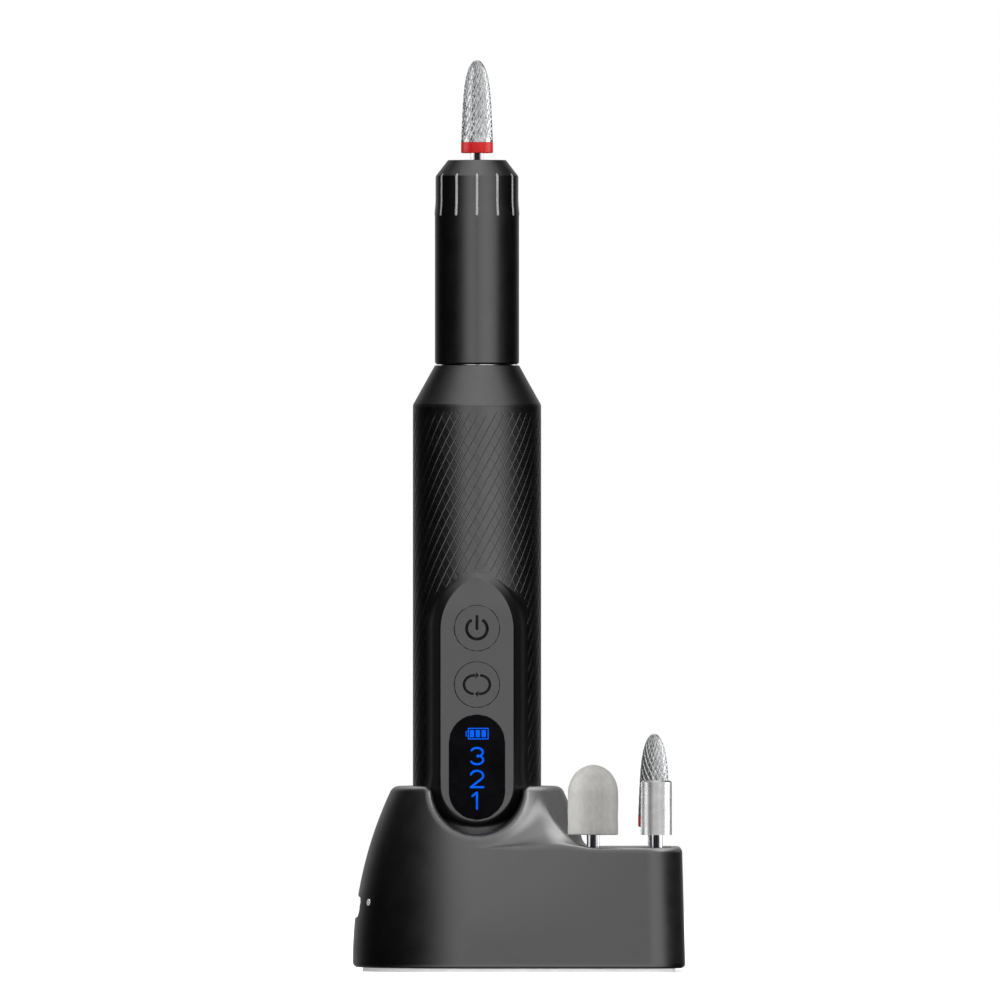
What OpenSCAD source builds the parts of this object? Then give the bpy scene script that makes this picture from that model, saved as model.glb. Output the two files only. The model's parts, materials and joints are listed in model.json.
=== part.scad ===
// Cordless electric nail drill standing in its charging dock, with three spare bits.
// Millimetres, +Z up. The origin is where the handpiece axis meets the table.
// The control panel faces -Y and the bit rack is on the +X side.

/* [Handpiece] */
// Diameter of the knurled grip
grip_d = 24.4; // [24:0.1:24.6]
// Diameter of the twist sleeve
neck_d = 16; // [15.8:0.1:16.4]
// Diameter of the flat mouth at the nose
nose_tip_d = 11; // [10:0.5:12]
// Height of the handpiece's lower end when it is docked
seat_z = 8; // [8:0.1:8.4]
// Height where the grip ends and the shoulder cone starts
grip_top_z = 107.3; // [107:0.1:108]
// Height where the cone ends and the twist sleeve starts
neck_z = 115.1; // [114.8:0.1:115.4]
// Height of the nose
nose_z = 154.1; // [154:0.1:155]
// Number of finger grooves round the nose
groove_count = 12; // [8:1:16]

/* [Control panel] */
// Width of the raised panel
panel_w = 13.9; // [13.4:0.1:14.2]
// Height of the centre of the panel's lower round end
panel_low_z = 35.2; // [35:0.1:35.6]
// Height of the centre of the panel's upper round end
panel_high_z = 66.7; // [66:0.1:68]
// Width of the display lens
lens_w = 10.6; // [10:0.1:10.8]
// Diameter of each key
key_d = 8.6; // [8:0.1:8.7]
// Travel of each key
key_travel = 0.4; // [0.3:0.05:0.4]

/* [Bits] */
// Diameter of a bit shank (3/32 inch)
shank_d = 2.35; // [2.34:0.01:2.36]
// Diameter of the carbide heads
carbide_d = 6.1; // [5.5:0.1:6.5]
// Diameter of the domed polishing head
dome_d = 9.6; // [9:0.1:10]
// Diameter of the mandrel barrel
mandrel_d = 5.9; // [5:0.1:6]

/* [Dock] */
// Radius of the round end at the foot
dock_r = 23.6; // [23.4:0.1:24]
// Distance from the handpiece axis to the far end
dock_reach = 39.5; // [39.2:0.1:40]
// Height of the tower
tower_z = 35.2; // [35:0.1:35.4]
// Height of the platform that holds the bits
platform_z = 23.6; // [23.4:0.1:24]
// Wall thickness of the dock shell
wall = 2; // [1.8:0.1:2]
// Thickness of the non-slip pad
pad_t = 0.76; // [0.6:0.02:0.8]

/* [Hidden] */
$fn = 48;
HULL_FN = 32;
E = 0.01;

// Handpiece
grip_r = grip_d / 2;
grip_wall = 1.6;
grip_in_r = grip_r - grip_wall;
cap_z = seat_z + 4;
neck_r = neck_d / 2;
nose_r = neck_r - 0.2;
chamfer_h = 3;
groove_low_z = nose_z - 10.6;
groove_w = 0.65;
groove_depth = 0.35;
screw_r = 0.9;
cap_screw_y = 4.8;

// Control panel
panel_r = panel_w / 2;
face_y = -grip_r - 0.8;
panel_t = 0.9;
skirt_reach = 2.26;
skirt_y = -8;
lens_r = lens_w / 2;
lens_low_z = panel_low_z - 1;
lens_high_z = lens_low_z + 9.3;
key_r = key_d / 2;
key_gap = 0.15;
power_z = panel_high_z - 1.5;
direction_z = power_z - 10.7;
board_y = -7.2;
board_t = 1;
switch_h = 1.5;

// Bits
shank_r = shank_d / 2;
carbide_r = carbide_d / 2;
shank_len = 22.3;
band_h = 2.1;
carbide_h = 15.6;
carbide_shank_len = shank_len + 1.4;
dome_h = 13.3;
mandrel_h = 10.3;
fitted_band_z = nose_z + 1.3;

// Dock
bell_arc_r = 76;
bell_foot_z = 2;
block_corner_r = 7;
block_draft = 0.6;
well_r = grip_r + 0.3;
well_wall = 1.8;
well_floor_t = 2;
scallop_r = panel_r + skirt_reach + 0.4;
scallop_z = tower_z - 0.2;
plate_t = 1.5;
socket_r = 1.25;
socket_wall = 1.1;
socket_depth = 20;
rack_t = 2.8;
rack_top_z = platform_z;
rack_x = [14, 36.5];
rack_half_y = 17.4;
rack_clear_r = 22.5;
column_x = [22, 34];
row_y = 13;
dome_at = [column_x[0], -row_y];
mandrel_at = [column_x[1], -row_y];
carbide_at = [column_x[1] - 0.35, 0];
sockets = [dome_at, mandrel_at, carbide_at, [column_x[0], row_y], [column_x[1], row_y]];
bit_foot_z = rack_top_z - socket_depth + 0.1;
dome_z = bit_foot_z + shank_len;
carbide_z = bit_foot_z + carbide_shank_len;
fitted_at = [0, 0];
roof_z = platform_z - wall;
post_at = [[-13.5, -13.5, 12], [-13.5, 13.5, 12], [27, -18.7, roof_z], [27, 18.7, roof_z]];
post_r = 2.4;
port_z = 12.2;
port_h = 3.8;
port_w = 10;
light_angle = 205.4;
light_z = 13.1;
pogo_x = 4;
pogo_top_z = seat_z + 0.35;
board_z = 2.6;

// Drive train inside the twist sleeve
cartridge_r = 6.8;
bearing_r = 6;
bearing_w = 4;
bearing_bore_r = 3;
ball_r = 0.8;
ball_pitch_r = 4.5;
ball_count = 7;
front_bearing_z = nose_z - 14;
rear_bearing_z = neck_z + 3;
spindle_r = bearing_bore_r - 0.02;
release_travel = 1.2;
collar_z = neck_z + 12.4;
collar_h = 3.2;
collar_pin_z = collar_z + 1.7;
collar_pin_r = 0.7;
slot_w = 2 * collar_pin_r + 0.2;
slot_low_z = collar_pin_z - collar_pin_r - release_travel - 0.2;
slot_high_z = collar_pin_z + collar_pin_r + 0.3;
motor_z = 77;
motor_len = 27;
motor_r = 9.9;
coupler_z = motor_z + motor_len + 2.9;

// Inside the grip
chassis_z = cap_z + 3.3;
chassis_top_z = motor_z - 2;
battery_r = 7;
battery_y = 3.2;
battery_z = chassis_z + 3;
battery_len = 50;

// ---------- shared shapes ----------

module rod(r, z0, z1) {
    translate([0, 0, z0]) cylinder(r = r, h = z1 - z0);
}

module tube(r, bore, z0, z1) {
    difference() {
        rod(r, z0, z1);
        rod(bore, z0 - 1, z1 + 1);
    }
}

// A cylinder lying along Y, from y0 to y1 and centred at height z
module peg_y(r, y0, y1, z, fn = 48) {
    translate([0, y1, z]) rotate([90, 0, 0]) cylinder(r = r, h = y1 - y0, $fn = fn);
}

// An upright stadium, seen from the front, from y0 to y1
module stadium_y(r, y0, y1, z0, z1) {
    peg_y(r, y0, y1, z0);
    peg_y(r, y0, y1, z1);
    translate([-r, y0, z0]) cube([2 * r, y1 - y0, z1 - z0]);
}

// A stadium lying along Y with its axis along X, for the charging port
module slot_x(w, h, x0, x1) {
    r = h / 2;
    for (y = [-1, 1] * (w / 2 - r))
        translate([x0, y, port_z]) rotate([0, 90, 0]) cylinder(r = r, h = x1 - x0);
    translate([x0, r - w / 2, port_z - r]) cube([x1 - x0, w - 2 * r, h]);
}

function spring_point(r, z0, pitch, a) = [r * cos(a), r * sin(a), z0 + pitch * a / 360];

// A coil spring: a tube of the wire's section swept along a helix
module coil_spring(r, wire_r, z0, z1, turns, sides = 6, steps = 14) {
    n = turns * steps;
    pitch = (z1 - z0 - 2 * wire_r) / turns;
    points = [
        for (i = [0 : n], k = [0 : sides - 1])
            let (a = i * 360 / steps, b = k * 360 / sides,
                 p = spring_point(r + wire_r * cos(b), z0 + wire_r, pitch, a))
            [p[0], p[1], p[2] + wire_r * sin(b)]
    ];
    walls = [
        for (i = [0 : n - 1], k = [0 : sides - 1])
            let (a = i * sides + k, b = i * sides + (k + 1) % sides)
            [a, a + sides, b + sides, b]
    ];
    caps = [[for (k = [0 : sides - 1]) k], [for (k = [sides - 1 : -1 : 0]) n * sides + k]];
    polyhedron(points = points, faces = concat(walls, caps));
}

// ---------- dock ----------

// Half outline of the tower, from the axis out to the arc of its flank
module bell_profile(inset, z0, z1) {
    intersection() {
        translate([dock_r - bell_arc_r, bell_foot_z]) circle(r = bell_arc_r - inset, $fn = 180);
        translate([0, z0]) square([dock_r, z1 - z0]);
    }
}

// The low block, whose front and back run from the tower's round end to two corner posts
module block(inset, z0, z1) {
    r = block_corner_r - inset;
    reach = dock_reach - block_corner_r;
    side = dock_r - block_corner_r;
    hull() {
        translate([0, 0, z0])
            cylinder(r1 = dock_r - 0.15 - inset, r2 = dock_r - 3.3 - inset, h = z1 - z0, $fn = 64);
        for (s = [-1, 1]) {
            translate([reach, s * side, z0]) cylinder(r = r, h = E, $fn = HULL_FN);
            translate([reach - block_draft, s * (side - block_draft), z1 - E])
                cylinder(r = r, h = E, $fn = HULL_FN);
        }
    }
}

// Flat outline under the dock, used for the base plate and the pad
module foot(inset, z0, z1) {
    reach = dock_reach - block_corner_r;
    side = dock_r - block_corner_r;
    r = block_corner_r - inset;
    rod(dock_r - inset, z0, z1);
    translate([0, -side - r, z0]) cube([reach, 2 * (side + r), z1 - z0]);
    translate([0, -side, z0]) cube([reach + r, 2 * side, z1 - z0]);
    for (s = [-1, 1]) translate([reach, s * side, 0]) rod(r, z0, z1);
}

module rack_outline(gap, z0, z1) {
    r = 3.5;
    x0 = rack_x[0] - gap;
    x1 = rack_x[1] + gap;
    y1 = rack_half_y + gap;
    difference() {
        union() {
            translate([x0, r - y1, z0]) cube([x1 - x0, 2 * (y1 - r), z1 - z0]);
            translate([x0, -y1, z0]) cube([x1 - r - x0, 2 * y1, z1 - z0]);
            for (s = [-1, 1]) translate([x1 - r, s * (y1 - r), 0]) rod(r, z0, z1);
        }
        rod(rack_clear_r - gap, z0 - 1, z1 + 1);
    }
}

// The web that closes the hollow wall round the notch in front of the well
module scallop_lining() {
    intersection() {
        rotate_extrude($fn = 96) bell_profile(0, seat_z, tower_z);
        peg_y(scallop_r + wall, -dock_r, -well_r, scallop_z);
    }
}

module light_pipe_shape(r, d0, d1) {
    rotate([0, 0, light_angle]) translate([d0, 0, light_z]) rotate([0, 90, 0])
        cylinder(r = r, h = d1 - d0);
}

module dock_shell() {
    color("#262627") difference() {
        union() {
            difference() {
                union() {
                    rotate_extrude($fn = 96) bell_profile(0, pad_t, tower_z);
                    block(0, pad_t, platform_z);
                }
                rotate_extrude($fn = 96) bell_profile(wall, pad_t - 1, tower_z - wall);
                block(wall, pad_t - 1, roof_z);
            }
            rod(well_r + well_wall, seat_z - well_floor_t, tower_z - E);
            for (p = post_at) translate([p[0], p[1], 0]) rod(post_r, pad_t + plate_t, p[2] + E);
            scallop_lining();
        }
        rod(well_r, seat_z, tower_z + 1);
        peg_y(scallop_r, -dock_r - 1, -6, scallop_z);
        for (s = [-1, 1]) translate([s * pogo_x, 0, 0]) rod(1.25, 0, seat_z + 1);
        for (p = post_at) translate([p[0], p[1], 0]) rod(screw_r + 0.02, 0, 10);
        rack_outline(0.1, roof_z - 1, platform_z + 1);
        slot_x(port_w, port_h, -dock_r - 2, -17);
        light_pipe_shape(0.8, 19, 25);
    }
}

module dock_base_plate() {
    color("#1d1d1e") difference() {
        foot(wall + 0.25, pad_t, pad_t + plate_t);
        for (p = post_at) translate([p[0], p[1], 0]) {
            rod(screw_r + 0.1, 0, 5);
            rod(2, 0, pad_t + 0.8);
        }
    }
}

module anti_slip_pad() {
    color("#e4e4e2") difference() {
        foot(1.9, 0, pad_t);
        for (p = post_at) translate([p[0], p[1], 0]) rod(2.2, -1, 2);
    }
}

module dock_screws() {
    color("silver") for (p = post_at) translate([p[0], p[1], 0]) difference() {
        union() {
            rod(screw_r, pad_t, 9);
            rod(1.9, pad_t, pad_t + 0.75);
        }
        for (a = [0, 90]) rotate([0, 0, a]) translate([-1.1, -0.2, 0])
            cube([2.2, 0.4, pad_t + 0.4]);
    }
}

module ballast_plate() {
    color("#8c8f92") difference() {
        translate([16, -16, pad_t + plate_t]) cube([20.4, 32, 3]);
        for (p = sockets) translate([p[0], p[1], 0])
            rod(socket_r + socket_wall + 0.3, 0, 10);
        for (p = post_at) translate([p[0], p[1], 0]) rod(post_r + 0.3, 0, 10);
    }
}

module bit_rack() {
    color("#202021") difference() {
        union() {
            rack_outline(0, rack_top_z - rack_t, rack_top_z);
            for (p = sockets) translate([p[0], p[1], 0])
                rod(socket_r + socket_wall, rack_top_z - socket_depth - 1, rack_top_z - 1);
        }
        for (p = sockets) translate([p[0], p[1], 0])
            rod(socket_r, rack_top_z - socket_depth, rack_top_z + 1);
    }
}

module contact_board() {
    color("#1f5c3a") translate([-8, -6, board_z]) cube([16, 12, 1]);
}

module usb_board() {
    color("#1f5c3a") difference() {
        translate([-19.6, -7, port_z - 2.7]) cube([6.1, 14, 1]);
        rod(well_r + well_wall + 0.2, 0, 20);
    }
}

module usb_socket() {
    color("silver") difference() {
        slot_x(8.9, 3.2, -21.5, -14.9);
        slot_x(8.3, 2.6, -22, -15.7);
    }
    color("#202020") translate([-20.4, -3.35, port_z - 0.35]) cube([4.8, 6.7, 0.7]);
}

module charge_light_pipe() {
    color("#e8ecf0") light_pipe_shape(0.76, 19.4, 22.6);
}

module pogo_barrels() {
    color("goldenrod") for (s = [-1, 1]) translate([s * pogo_x, 0, 0]) difference() {
        rod(1.2, board_z + 1, seat_z - 0.1);
        rod(0.95, board_z + 1.4, seat_z - 0.6);
        rod(0.68, board_z + 2, seat_z);
    }
}

module pogo_pin(x) {
    color("gold") translate([x, 0, 0]) {
        rod(0.6, seat_z - 2.2, pogo_top_z - 0.3);
        translate([0, 0, pogo_top_z - 0.3]) cylinder(r1 = 0.6, r2 = 0.35, h = 0.3);
        rod(0.9, seat_z - 2.2, seat_z - 0.65);
    }
}

module pogo_spring(x) {
    color("silver") translate([x, 0, 0])
        coil_spring(0.7, 0.12, board_z + 1.5, seat_z - 2.25, 4, 6, 12);
}

// ---------- bits ----------

module shank(at, z0, z1) {
    color("silver") translate([at[0], at[1], 0]) {
        translate([0, 0, z0]) cylinder(r1 = shank_r - 0.3, r2 = shank_r, h = 0.3);
        rod(shank_r, z0 + 0.3, z1);
    }
}

// Half outline of a flame-shaped carbide head
function flame_r(t) = carbide_r * (1 - 0.22 * t) * sqrt(1 - pow(t, 5));
module carbide_head(at, z0) {
    steps = 20;
    color("#c4c6c8") translate([at[0], at[1], z0]) rotate_extrude() polygon(concat(
        [[0, carbide_h], [0, 0]],
        [for (i = [0 : steps - 1]) [flame_r(i / steps), carbide_h * i / steps]],
        [[0.9, carbide_h]]
    ));
}

module band(at, z0) {
    color("#d0202a") translate([at[0], at[1], 0]) rod(carbide_r, z0, z0 + band_h);
}

module dome_bit_head() {
    r = dome_d / 2;
    color("#c9c8c3") translate([dome_at[0], dome_at[1], dome_z]) {
        rod(r, 0, dome_h - 5.4);
        intersection() {
            translate([0, 0, dome_h - 5.4]) scale([1, 1, 5.4 / r]) sphere(r = r);
            rod(r, dome_h - 5.5, dome_h + 1);
        }
    }
}

module mandrel_bit_barrel() {
    r = mandrel_d / 2;
    z0 = dome_z;
    color("#d6d8da") translate([mandrel_at[0], mandrel_at[1], 0]) difference() {
        union() {
            rod(r, z0, z0 + mandrel_h - 0.3);
            translate([0, 0, z0 + mandrel_h - 0.3]) cylinder(r1 = r, r2 = r - 0.3, h = 0.3);
        }
        translate([-r - 1, -0.25, z0 + 2]) cube([2 * r + 2, 0.5, mandrel_h]);
    }
}

// ---------- handpiece casing ----------

module panel_land() {
    hull() {
        for (z = [panel_low_z, panel_high_z]) {
            peg_y(panel_r, face_y + panel_t, face_y + panel_t + E, z, 64);
            peg_y(panel_r + skirt_reach, skirt_y, skirt_y + E, z, 64);
        }
    }
}

module front_housing() {
    color("#262627") difference() {
        union() {
            rod(grip_r, cap_z, grip_top_z);
            panel_land();
        }
        rod(grip_in_r, cap_z - 1, grip_top_z + 1);
        translate([-20, 0, 0]) cube([40, 40, 200]);
        stadium_y(panel_r + 0.02, -20, face_y + panel_t, panel_low_z, panel_high_z);
        stadium_y(lens_r - 0.7, -20, skirt_y + 2, lens_low_z, lens_high_z);
        for (z = [power_z, direction_z]) peg_y(key_r + 0.9, -20, skirt_y + 2, z);
    }
}

module rear_housing() {
    color("#262627") difference() {
        tube(grip_r, grip_in_r, cap_z, grip_top_z);
        translate([-20, -40, 0]) cube([40, 40, 200]);
    }
}

module rear_cap() {
    color("#1d1d1e") difference() {
        union() {
            translate([0, 0, seat_z]) cylinder(r1 = grip_r - 0.8, r2 = grip_r, h = 0.8);
            rod(grip_r, seat_z + 0.8, cap_z);
            rod(grip_in_r - 0.05, cap_z, cap_z + 3);
        }
        rod(grip_in_r - 1.5, seat_z + 2, cap_z + 4);
        for (s = [-1, 1]) {
            translate([s * pogo_x, 0, 0]) rod(2, seat_z - 1, seat_z + 1.2);
            translate([0, s * cap_screw_y, 0]) rod(screw_r + 0.1, seat_z - 1, seat_z + 3);
            translate([0, s * cap_screw_y, 0]) rod(1.7, seat_z - 1, seat_z + 1);
        }
    }
}

module rear_cap_screws() {
    color("silver") for (s = [-1, 1]) translate([0, s * cap_screw_y, 0]) difference() {
        union() {
            rod(screw_r, seat_z + 0.3, chassis_z + 1.4);
            rod(1.6, seat_z + 0.3, seat_z + 1);
        }
        for (a = [0, 90]) rotate([0, 0, a]) translate([-1, -0.2, 0]) cube([2, 0.4, seat_z + 0.7]);
    }
}

module charge_contacts() {
    color("gold") for (s = [-1, 1]) translate([s * pogo_x, 0, 0])
        rod(1.95, seat_z + 0.4, seat_z + 1.2);
}

module control_panel() {
    color("#262627") difference() {
        stadium_y(panel_r, face_y, face_y + panel_t, panel_low_z, panel_high_z);
        stadium_y(lens_r + 0.05, -20, 0, lens_low_z, lens_high_z);
        for (z = [power_z, direction_z]) peg_y(key_r + key_gap, -20, 0, z);
    }
}

module display_lens() {
    color("#0b0b0d") stadium_y(lens_r, face_y + 0.05, face_y + panel_t, lens_low_z, lens_high_z);
}

module display_module() {
    color("#f0f0f0") translate([-4.1, board_y - 3.1, lens_low_z - 1.8])
        cube([8.2, 3.1, lens_high_z - lens_low_z + 3.6]);
}

module key(z) {
    color("#262627") {
        peg_y(key_r, face_y, face_y + panel_t + 0.6, z);
        peg_y(key_r + 0.6, face_y + panel_t + 0.1, face_y + panel_t + 0.6, z);
        peg_y(1.5, face_y + panel_t, board_y - switch_h - key_travel - 0.05, z);
    }
}

// ---------- electronics and power ----------

module control_board() {
    color("#1f5c3a") translate([-6.5, board_y, chassis_z + 0.5])
        cube([13, board_t, chassis_top_z - chassis_z - 1]);
}

module tact_switches() {
    color("#303032") for (z = [power_z, direction_z])
        translate([-2.25, board_y - switch_h, z - 2.25]) cube([4.5, switch_h, 4.5]);
}

module board_components() {
    color("#151515") {
        translate([-2.5, board_y - 1, chassis_z + 2]) cube([5, 1, 5]);
        translate([-4.5, board_y - 0.9, chassis_z + 8.5]) cube([3, 0.9, 1.6]);
        translate([1.5, board_y - 0.9, chassis_z + 8.5]) cube([3, 0.9, 1.6]);
    }
}

module chassis() {
    plate_y = board_y + board_t + 0.05;
    color("#d8d5cc") difference() {
        intersection() {
            rod(grip_in_r - 0.2, chassis_z, chassis_top_z);
            translate([-20, plate_y, 0]) cube([40, 40, 200]);
        }
        translate([-20, plate_y + 1.2, chassis_z + 2])
            cube([40, 40, chassis_top_z - chassis_z - 3.5]);
        for (s = [-1, 1]) translate([0, s * cap_screw_y, 0])
            rod(screw_r + 0.02, 0, chassis_z + 1.5);
        translate([-3, 4, chassis_top_z - 3]) cube([6, 20, 5]);
    }
}

module battery_cell() {
    color("#2b5fa8") translate([0, battery_y, 0]) {
        rod(battery_r, battery_z, battery_z + battery_len);
        rod(2.5, battery_z, battery_z + battery_len + 0.6);
    }
}

module battery_tabs() {
    color("#c9c9c9") {
        translate([-2, battery_y - 4, battery_z - 0.3]) cube([4, 8, 0.25]);
        translate([-2, battery_y - 4, battery_z + battery_len + 0.65]) cube([4, 8, 0.25]);
    }
}

module motor_leads() {
    color("#b02020") for (s = [-1, 1]) translate([s * 5, -7.7, chassis_top_z - 3.4]) {
        rod(0.45, 0, 4.2);
        translate([0, 0, 4.2]) sphere(r = 0.45);
        translate([0, 0, 4.2]) rotate([-90, 0, 0]) cylinder(r = 0.45, h = 3);
    }
}

module motor_can() {
    color("silver") difference() {
        rod(motor_r, motor_z + 2, motor_z + motor_len);
        rod(motor_r - 0.6, motor_z + 1, motor_z + motor_len - 1);
        rod(1.6, motor_z, motor_z + motor_len + 1);
    }
}

module motor_end_bell() {
    color("#202020") difference() {
        union() {
            rod(motor_r, motor_z, motor_z + 2);
            rod(motor_r - 0.65, motor_z + 2, motor_z + 3.5);
        }
        rod(1.1, motor_z + 1, motor_z + 5);
    }
}

module motor_magnets() {
    color("#4a4a4d") difference() {
        tube(motor_r - 0.65, 7.6, motor_z + 5, motor_z + 22);
        for (a = [0, 180]) rotate([0, 0, a]) translate([-20, -1.5, motor_z]) cube([20, 3, 40]);
    }
}

module motor_damper() {
    color("#303030") tube(grip_in_r - 0.05, motor_r + 0.05, motor_z + 6, motor_z + 20);
}

module rotor() {
    color("#b87333") {
        difference() {
            rod(6.9, motor_z + 6, motor_z + 21);
            for (a = [0 : 120 : 240]) rotate([0, 0, a]) translate([4.5, -0.6, motor_z])
                cube([5, 1.2, 40]);
        }
        rod(1, motor_z + 1.5, coupler_z + 1.8);
    }
}

// ---------- drive train ----------

module coupler_half(turn) {
    rod(3.5, 0, 2);
    for (a = [0, 180]) rotate([0, 0, a + turn]) intersection() {
        tube(3.5, 1.4, 1.9, 4);
        translate([0.08, 0.08, 0]) cube([5, 5, 5]);
    }
}

module motor_coupler() {
    color("#9a9ca0") difference() {
        translate([0, 0, coupler_z]) coupler_half(0);
        rod(1.01, coupler_z - 1, coupler_z + 1.85);
    }
}

module spindle_coupler() {
    color("#9a9ca0") difference() {
        translate([0, 0, coupler_z + 6.1]) rotate([180, 0, 0]) coupler_half(0);
        rod(2, coupler_z + 5, coupler_z + 8);
    }
}

module shoulder_cone() {
    color("#262627") difference() {
        union() {
            translate([0, 0, grip_top_z])
                cylinder(r1 = grip_r, r2 = neck_r, h = neck_z - grip_top_z);
            rod(grip_in_r - 0.1, grip_top_z - 3.2, grip_top_z);
        }
        rod(grip_in_r - 1, grip_top_z - 4, grip_top_z - 0.6);
        rod(cartridge_r + 0.05, grip_top_z - 4, neck_z + 1);
    }
}

module spindle_cartridge() {
    color("#a9adb1") difference() {
        union() {
            rod(cartridge_r, grip_top_z - 2.7, front_bearing_z + bearing_w + 3);
            rod(grip_in_r - 1.1, grip_top_z - 2.7, grip_top_z - 0.7);
        }
        rod(bearing_r, grip_top_z - 4, front_bearing_z + bearing_w + 2);
        rod(5, grip_top_z, nose_z);
        rotate_extrude() translate([cartridge_r - 0.4, neck_z + 3]) square([1, 0.8]);
        for (a = [0, 180]) rotate([0, 0, a]) translate([4, -slot_w / 2, slot_low_z])
            cube([5, slot_w, slot_high_z - slot_low_z]);
    }
}

module sleeve_o_ring() {
    color("#101010") translate([0, 0, neck_z + 3.4]) rotate_extrude()
        translate([cartridge_r - 0.11, 0]) circle(r = 0.28);
}

module twist_sleeve() {
    low = neck_z + 0.15;
    color("#262627") difference() {
        union() {
            rod(neck_r, low, groove_low_z);
            translate([0, 0, groove_low_z]) cylinder(r1 = neck_r, r2 = nose_r, h = 2.5);
            rod(nose_r, groove_low_z + 2.5, nose_z - chamfer_h);
            translate([0, 0, nose_z - chamfer_h])
                cylinder(r1 = nose_r, r2 = nose_tip_d / 2, h = chamfer_h);
        }
        rod(cartridge_r + 0.2, low - 1, nose_z - 5.6);
        rod(cartridge_r + 0.55, slot_low_z - 0.1, slot_high_z + 0.1);
        rod(2.95, nose_z - 6, nose_z + 1);
        for (i = [0 : groove_count - 1]) rotate([0, 0, i * 360 / groove_count - 90])
            translate([nose_r - groove_depth, -groove_w / 2, groove_low_z])
                cube([2, groove_w, nose_z]);
    }
}

module release_collar() {
    color("#9a9ca0") {
        tube(bearing_r - 0.15, spindle_r + 0.2, collar_z, collar_z + collar_h);
        for (a = [0, 180]) rotate([0, 0, a]) translate([4, 0, collar_pin_z]) rotate([0, 90, 0])
            cylinder(r = collar_pin_r, h = 3.2);
    }
}

module collet_spring() {
    low = rear_bearing_z + bearing_w + 0.02;
    color("silver") coil_spring(5.4, 0.3, low, collar_z - 0.02, 4, 8, 20);
}

module spindle() {
    color("#b4b7ba") difference() {
        union() {
            rod(spindle_r, coupler_z + 6.1, nose_z - 5.9);
            rod(1.98, coupler_z + 5.1, coupler_z + 7);
        }
        rod(2.2, fitted_band_z - carbide_shank_len - 1, nose_z);
    }
}

module collet() {
    low = fitted_band_z - carbide_shank_len + 2;
    color("#d0d2d4") difference() {
        union() {
            rod(2.18, low, nose_z - 4.9);
            translate([0, 0, nose_z - 4.9]) cylinder(r1 = 2.18, r2 = 2.7, h = 0.6);
            rod(2.7, nose_z - 4.3, nose_z - 2.4);
            translate([0, 0, nose_z - 2.4]) cylinder(r1 = 2.7, r2 = 1.9, h = 0.8);
        }
        rod(shank_r + 0.03, low - 1, nose_z);
        for (a = [90 : 120 : 330]) rotate([0, 0, a]) translate([0, -0.17, low + 4])
            cube([4, 0.34, 30]);
    }
}

module race_groove(z) {
    rotate_extrude() translate([ball_pitch_r, z]) circle(r = ball_r + 0.03);
}

module bearing_outer_races() {
    color("silver") for (z = [front_bearing_z, rear_bearing_z]) difference() {
        tube(bearing_r - 0.01, 5.15, z, z + bearing_w);
        race_groove(z + bearing_w / 2);
    }
}

module bearing_inner_races() {
    color("silver") for (z = [front_bearing_z, rear_bearing_z]) difference() {
        tube(3.85, bearing_bore_r, z, z + bearing_w);
        race_groove(z + bearing_w / 2);
    }
}

module bearing_balls() {
    color("#e0e0e0") for (z = [front_bearing_z, rear_bearing_z], i = [0 : ball_count - 1])
        rotate([0, 0, i * 360 / ball_count]) translate([ball_pitch_r, 0, z + bearing_w / 2])
            sphere(r = ball_r);
}

// ---------- nodes ----------

dock_shell();
dock_base_plate();
anti_slip_pad();
dock_screws();
ballast_plate();
bit_rack();
contact_board();
usb_board();
usb_socket();
charge_light_pipe();
pogo_barrels();
pogo_pin(pogo_x);  // plus_pogo_pin
pogo_pin(-pogo_x);  // minus_pogo_pin
pogo_spring(pogo_x);  // plus_pogo_spring
pogo_spring(-pogo_x);  // minus_pogo_spring
shank(dome_at, bit_foot_z, dome_z);  // dome_bit_shank
dome_bit_head();
shank(mandrel_at, bit_foot_z, dome_z);  // mandrel_bit_shank
mandrel_bit_barrel();
shank(carbide_at, bit_foot_z, carbide_z);  // carbide_bit_shank
carbide_head(carbide_at, carbide_z + band_h);  // carbide_bit_head
band(carbide_at, carbide_z);  // carbide_bit_band
shank(fitted_at, fitted_band_z - carbide_shank_len, fitted_band_z);  // fitted_bit_shank
carbide_head(fitted_at, fitted_band_z + band_h);  // fitted_bit_head
band(fitted_at, fitted_band_z);  // fitted_bit_band
front_housing();
rear_housing();
rear_cap();
rear_cap_screws();
charge_contacts();
control_panel();
display_lens();
display_module();
key(power_z);  // power_key
key(direction_z);  // direction_key
tact_switches();
control_board();
board_components();
chassis();
battery_cell();
battery_tabs();
motor_leads();
motor_can();
motor_end_bell();
motor_magnets();
motor_damper();
rotor();
motor_coupler();
spindle_coupler();
shoulder_cone();
spindle_cartridge();
sleeve_o_ring();
twist_sleeve();
release_collar();
collet_spring();
spindle();
collet();
bearing_outer_races();
bearing_inner_races();
bearing_balls();
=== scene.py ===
"""The looks of a cordless nail drill in its charging dock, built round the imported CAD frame.

Lengths are in millimetres while a shape is worked out, and in metres once it is a Blender mesh.
The handpiece's axis is the frame's Z axis, its control panel faces -Y and the bit rack is on +X.
"""

import itertools
import json
import math

import bmesh
import bpy
import numpy as np
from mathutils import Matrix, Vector
from mathutils.geometry import delaunay_2d_cdt

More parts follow.
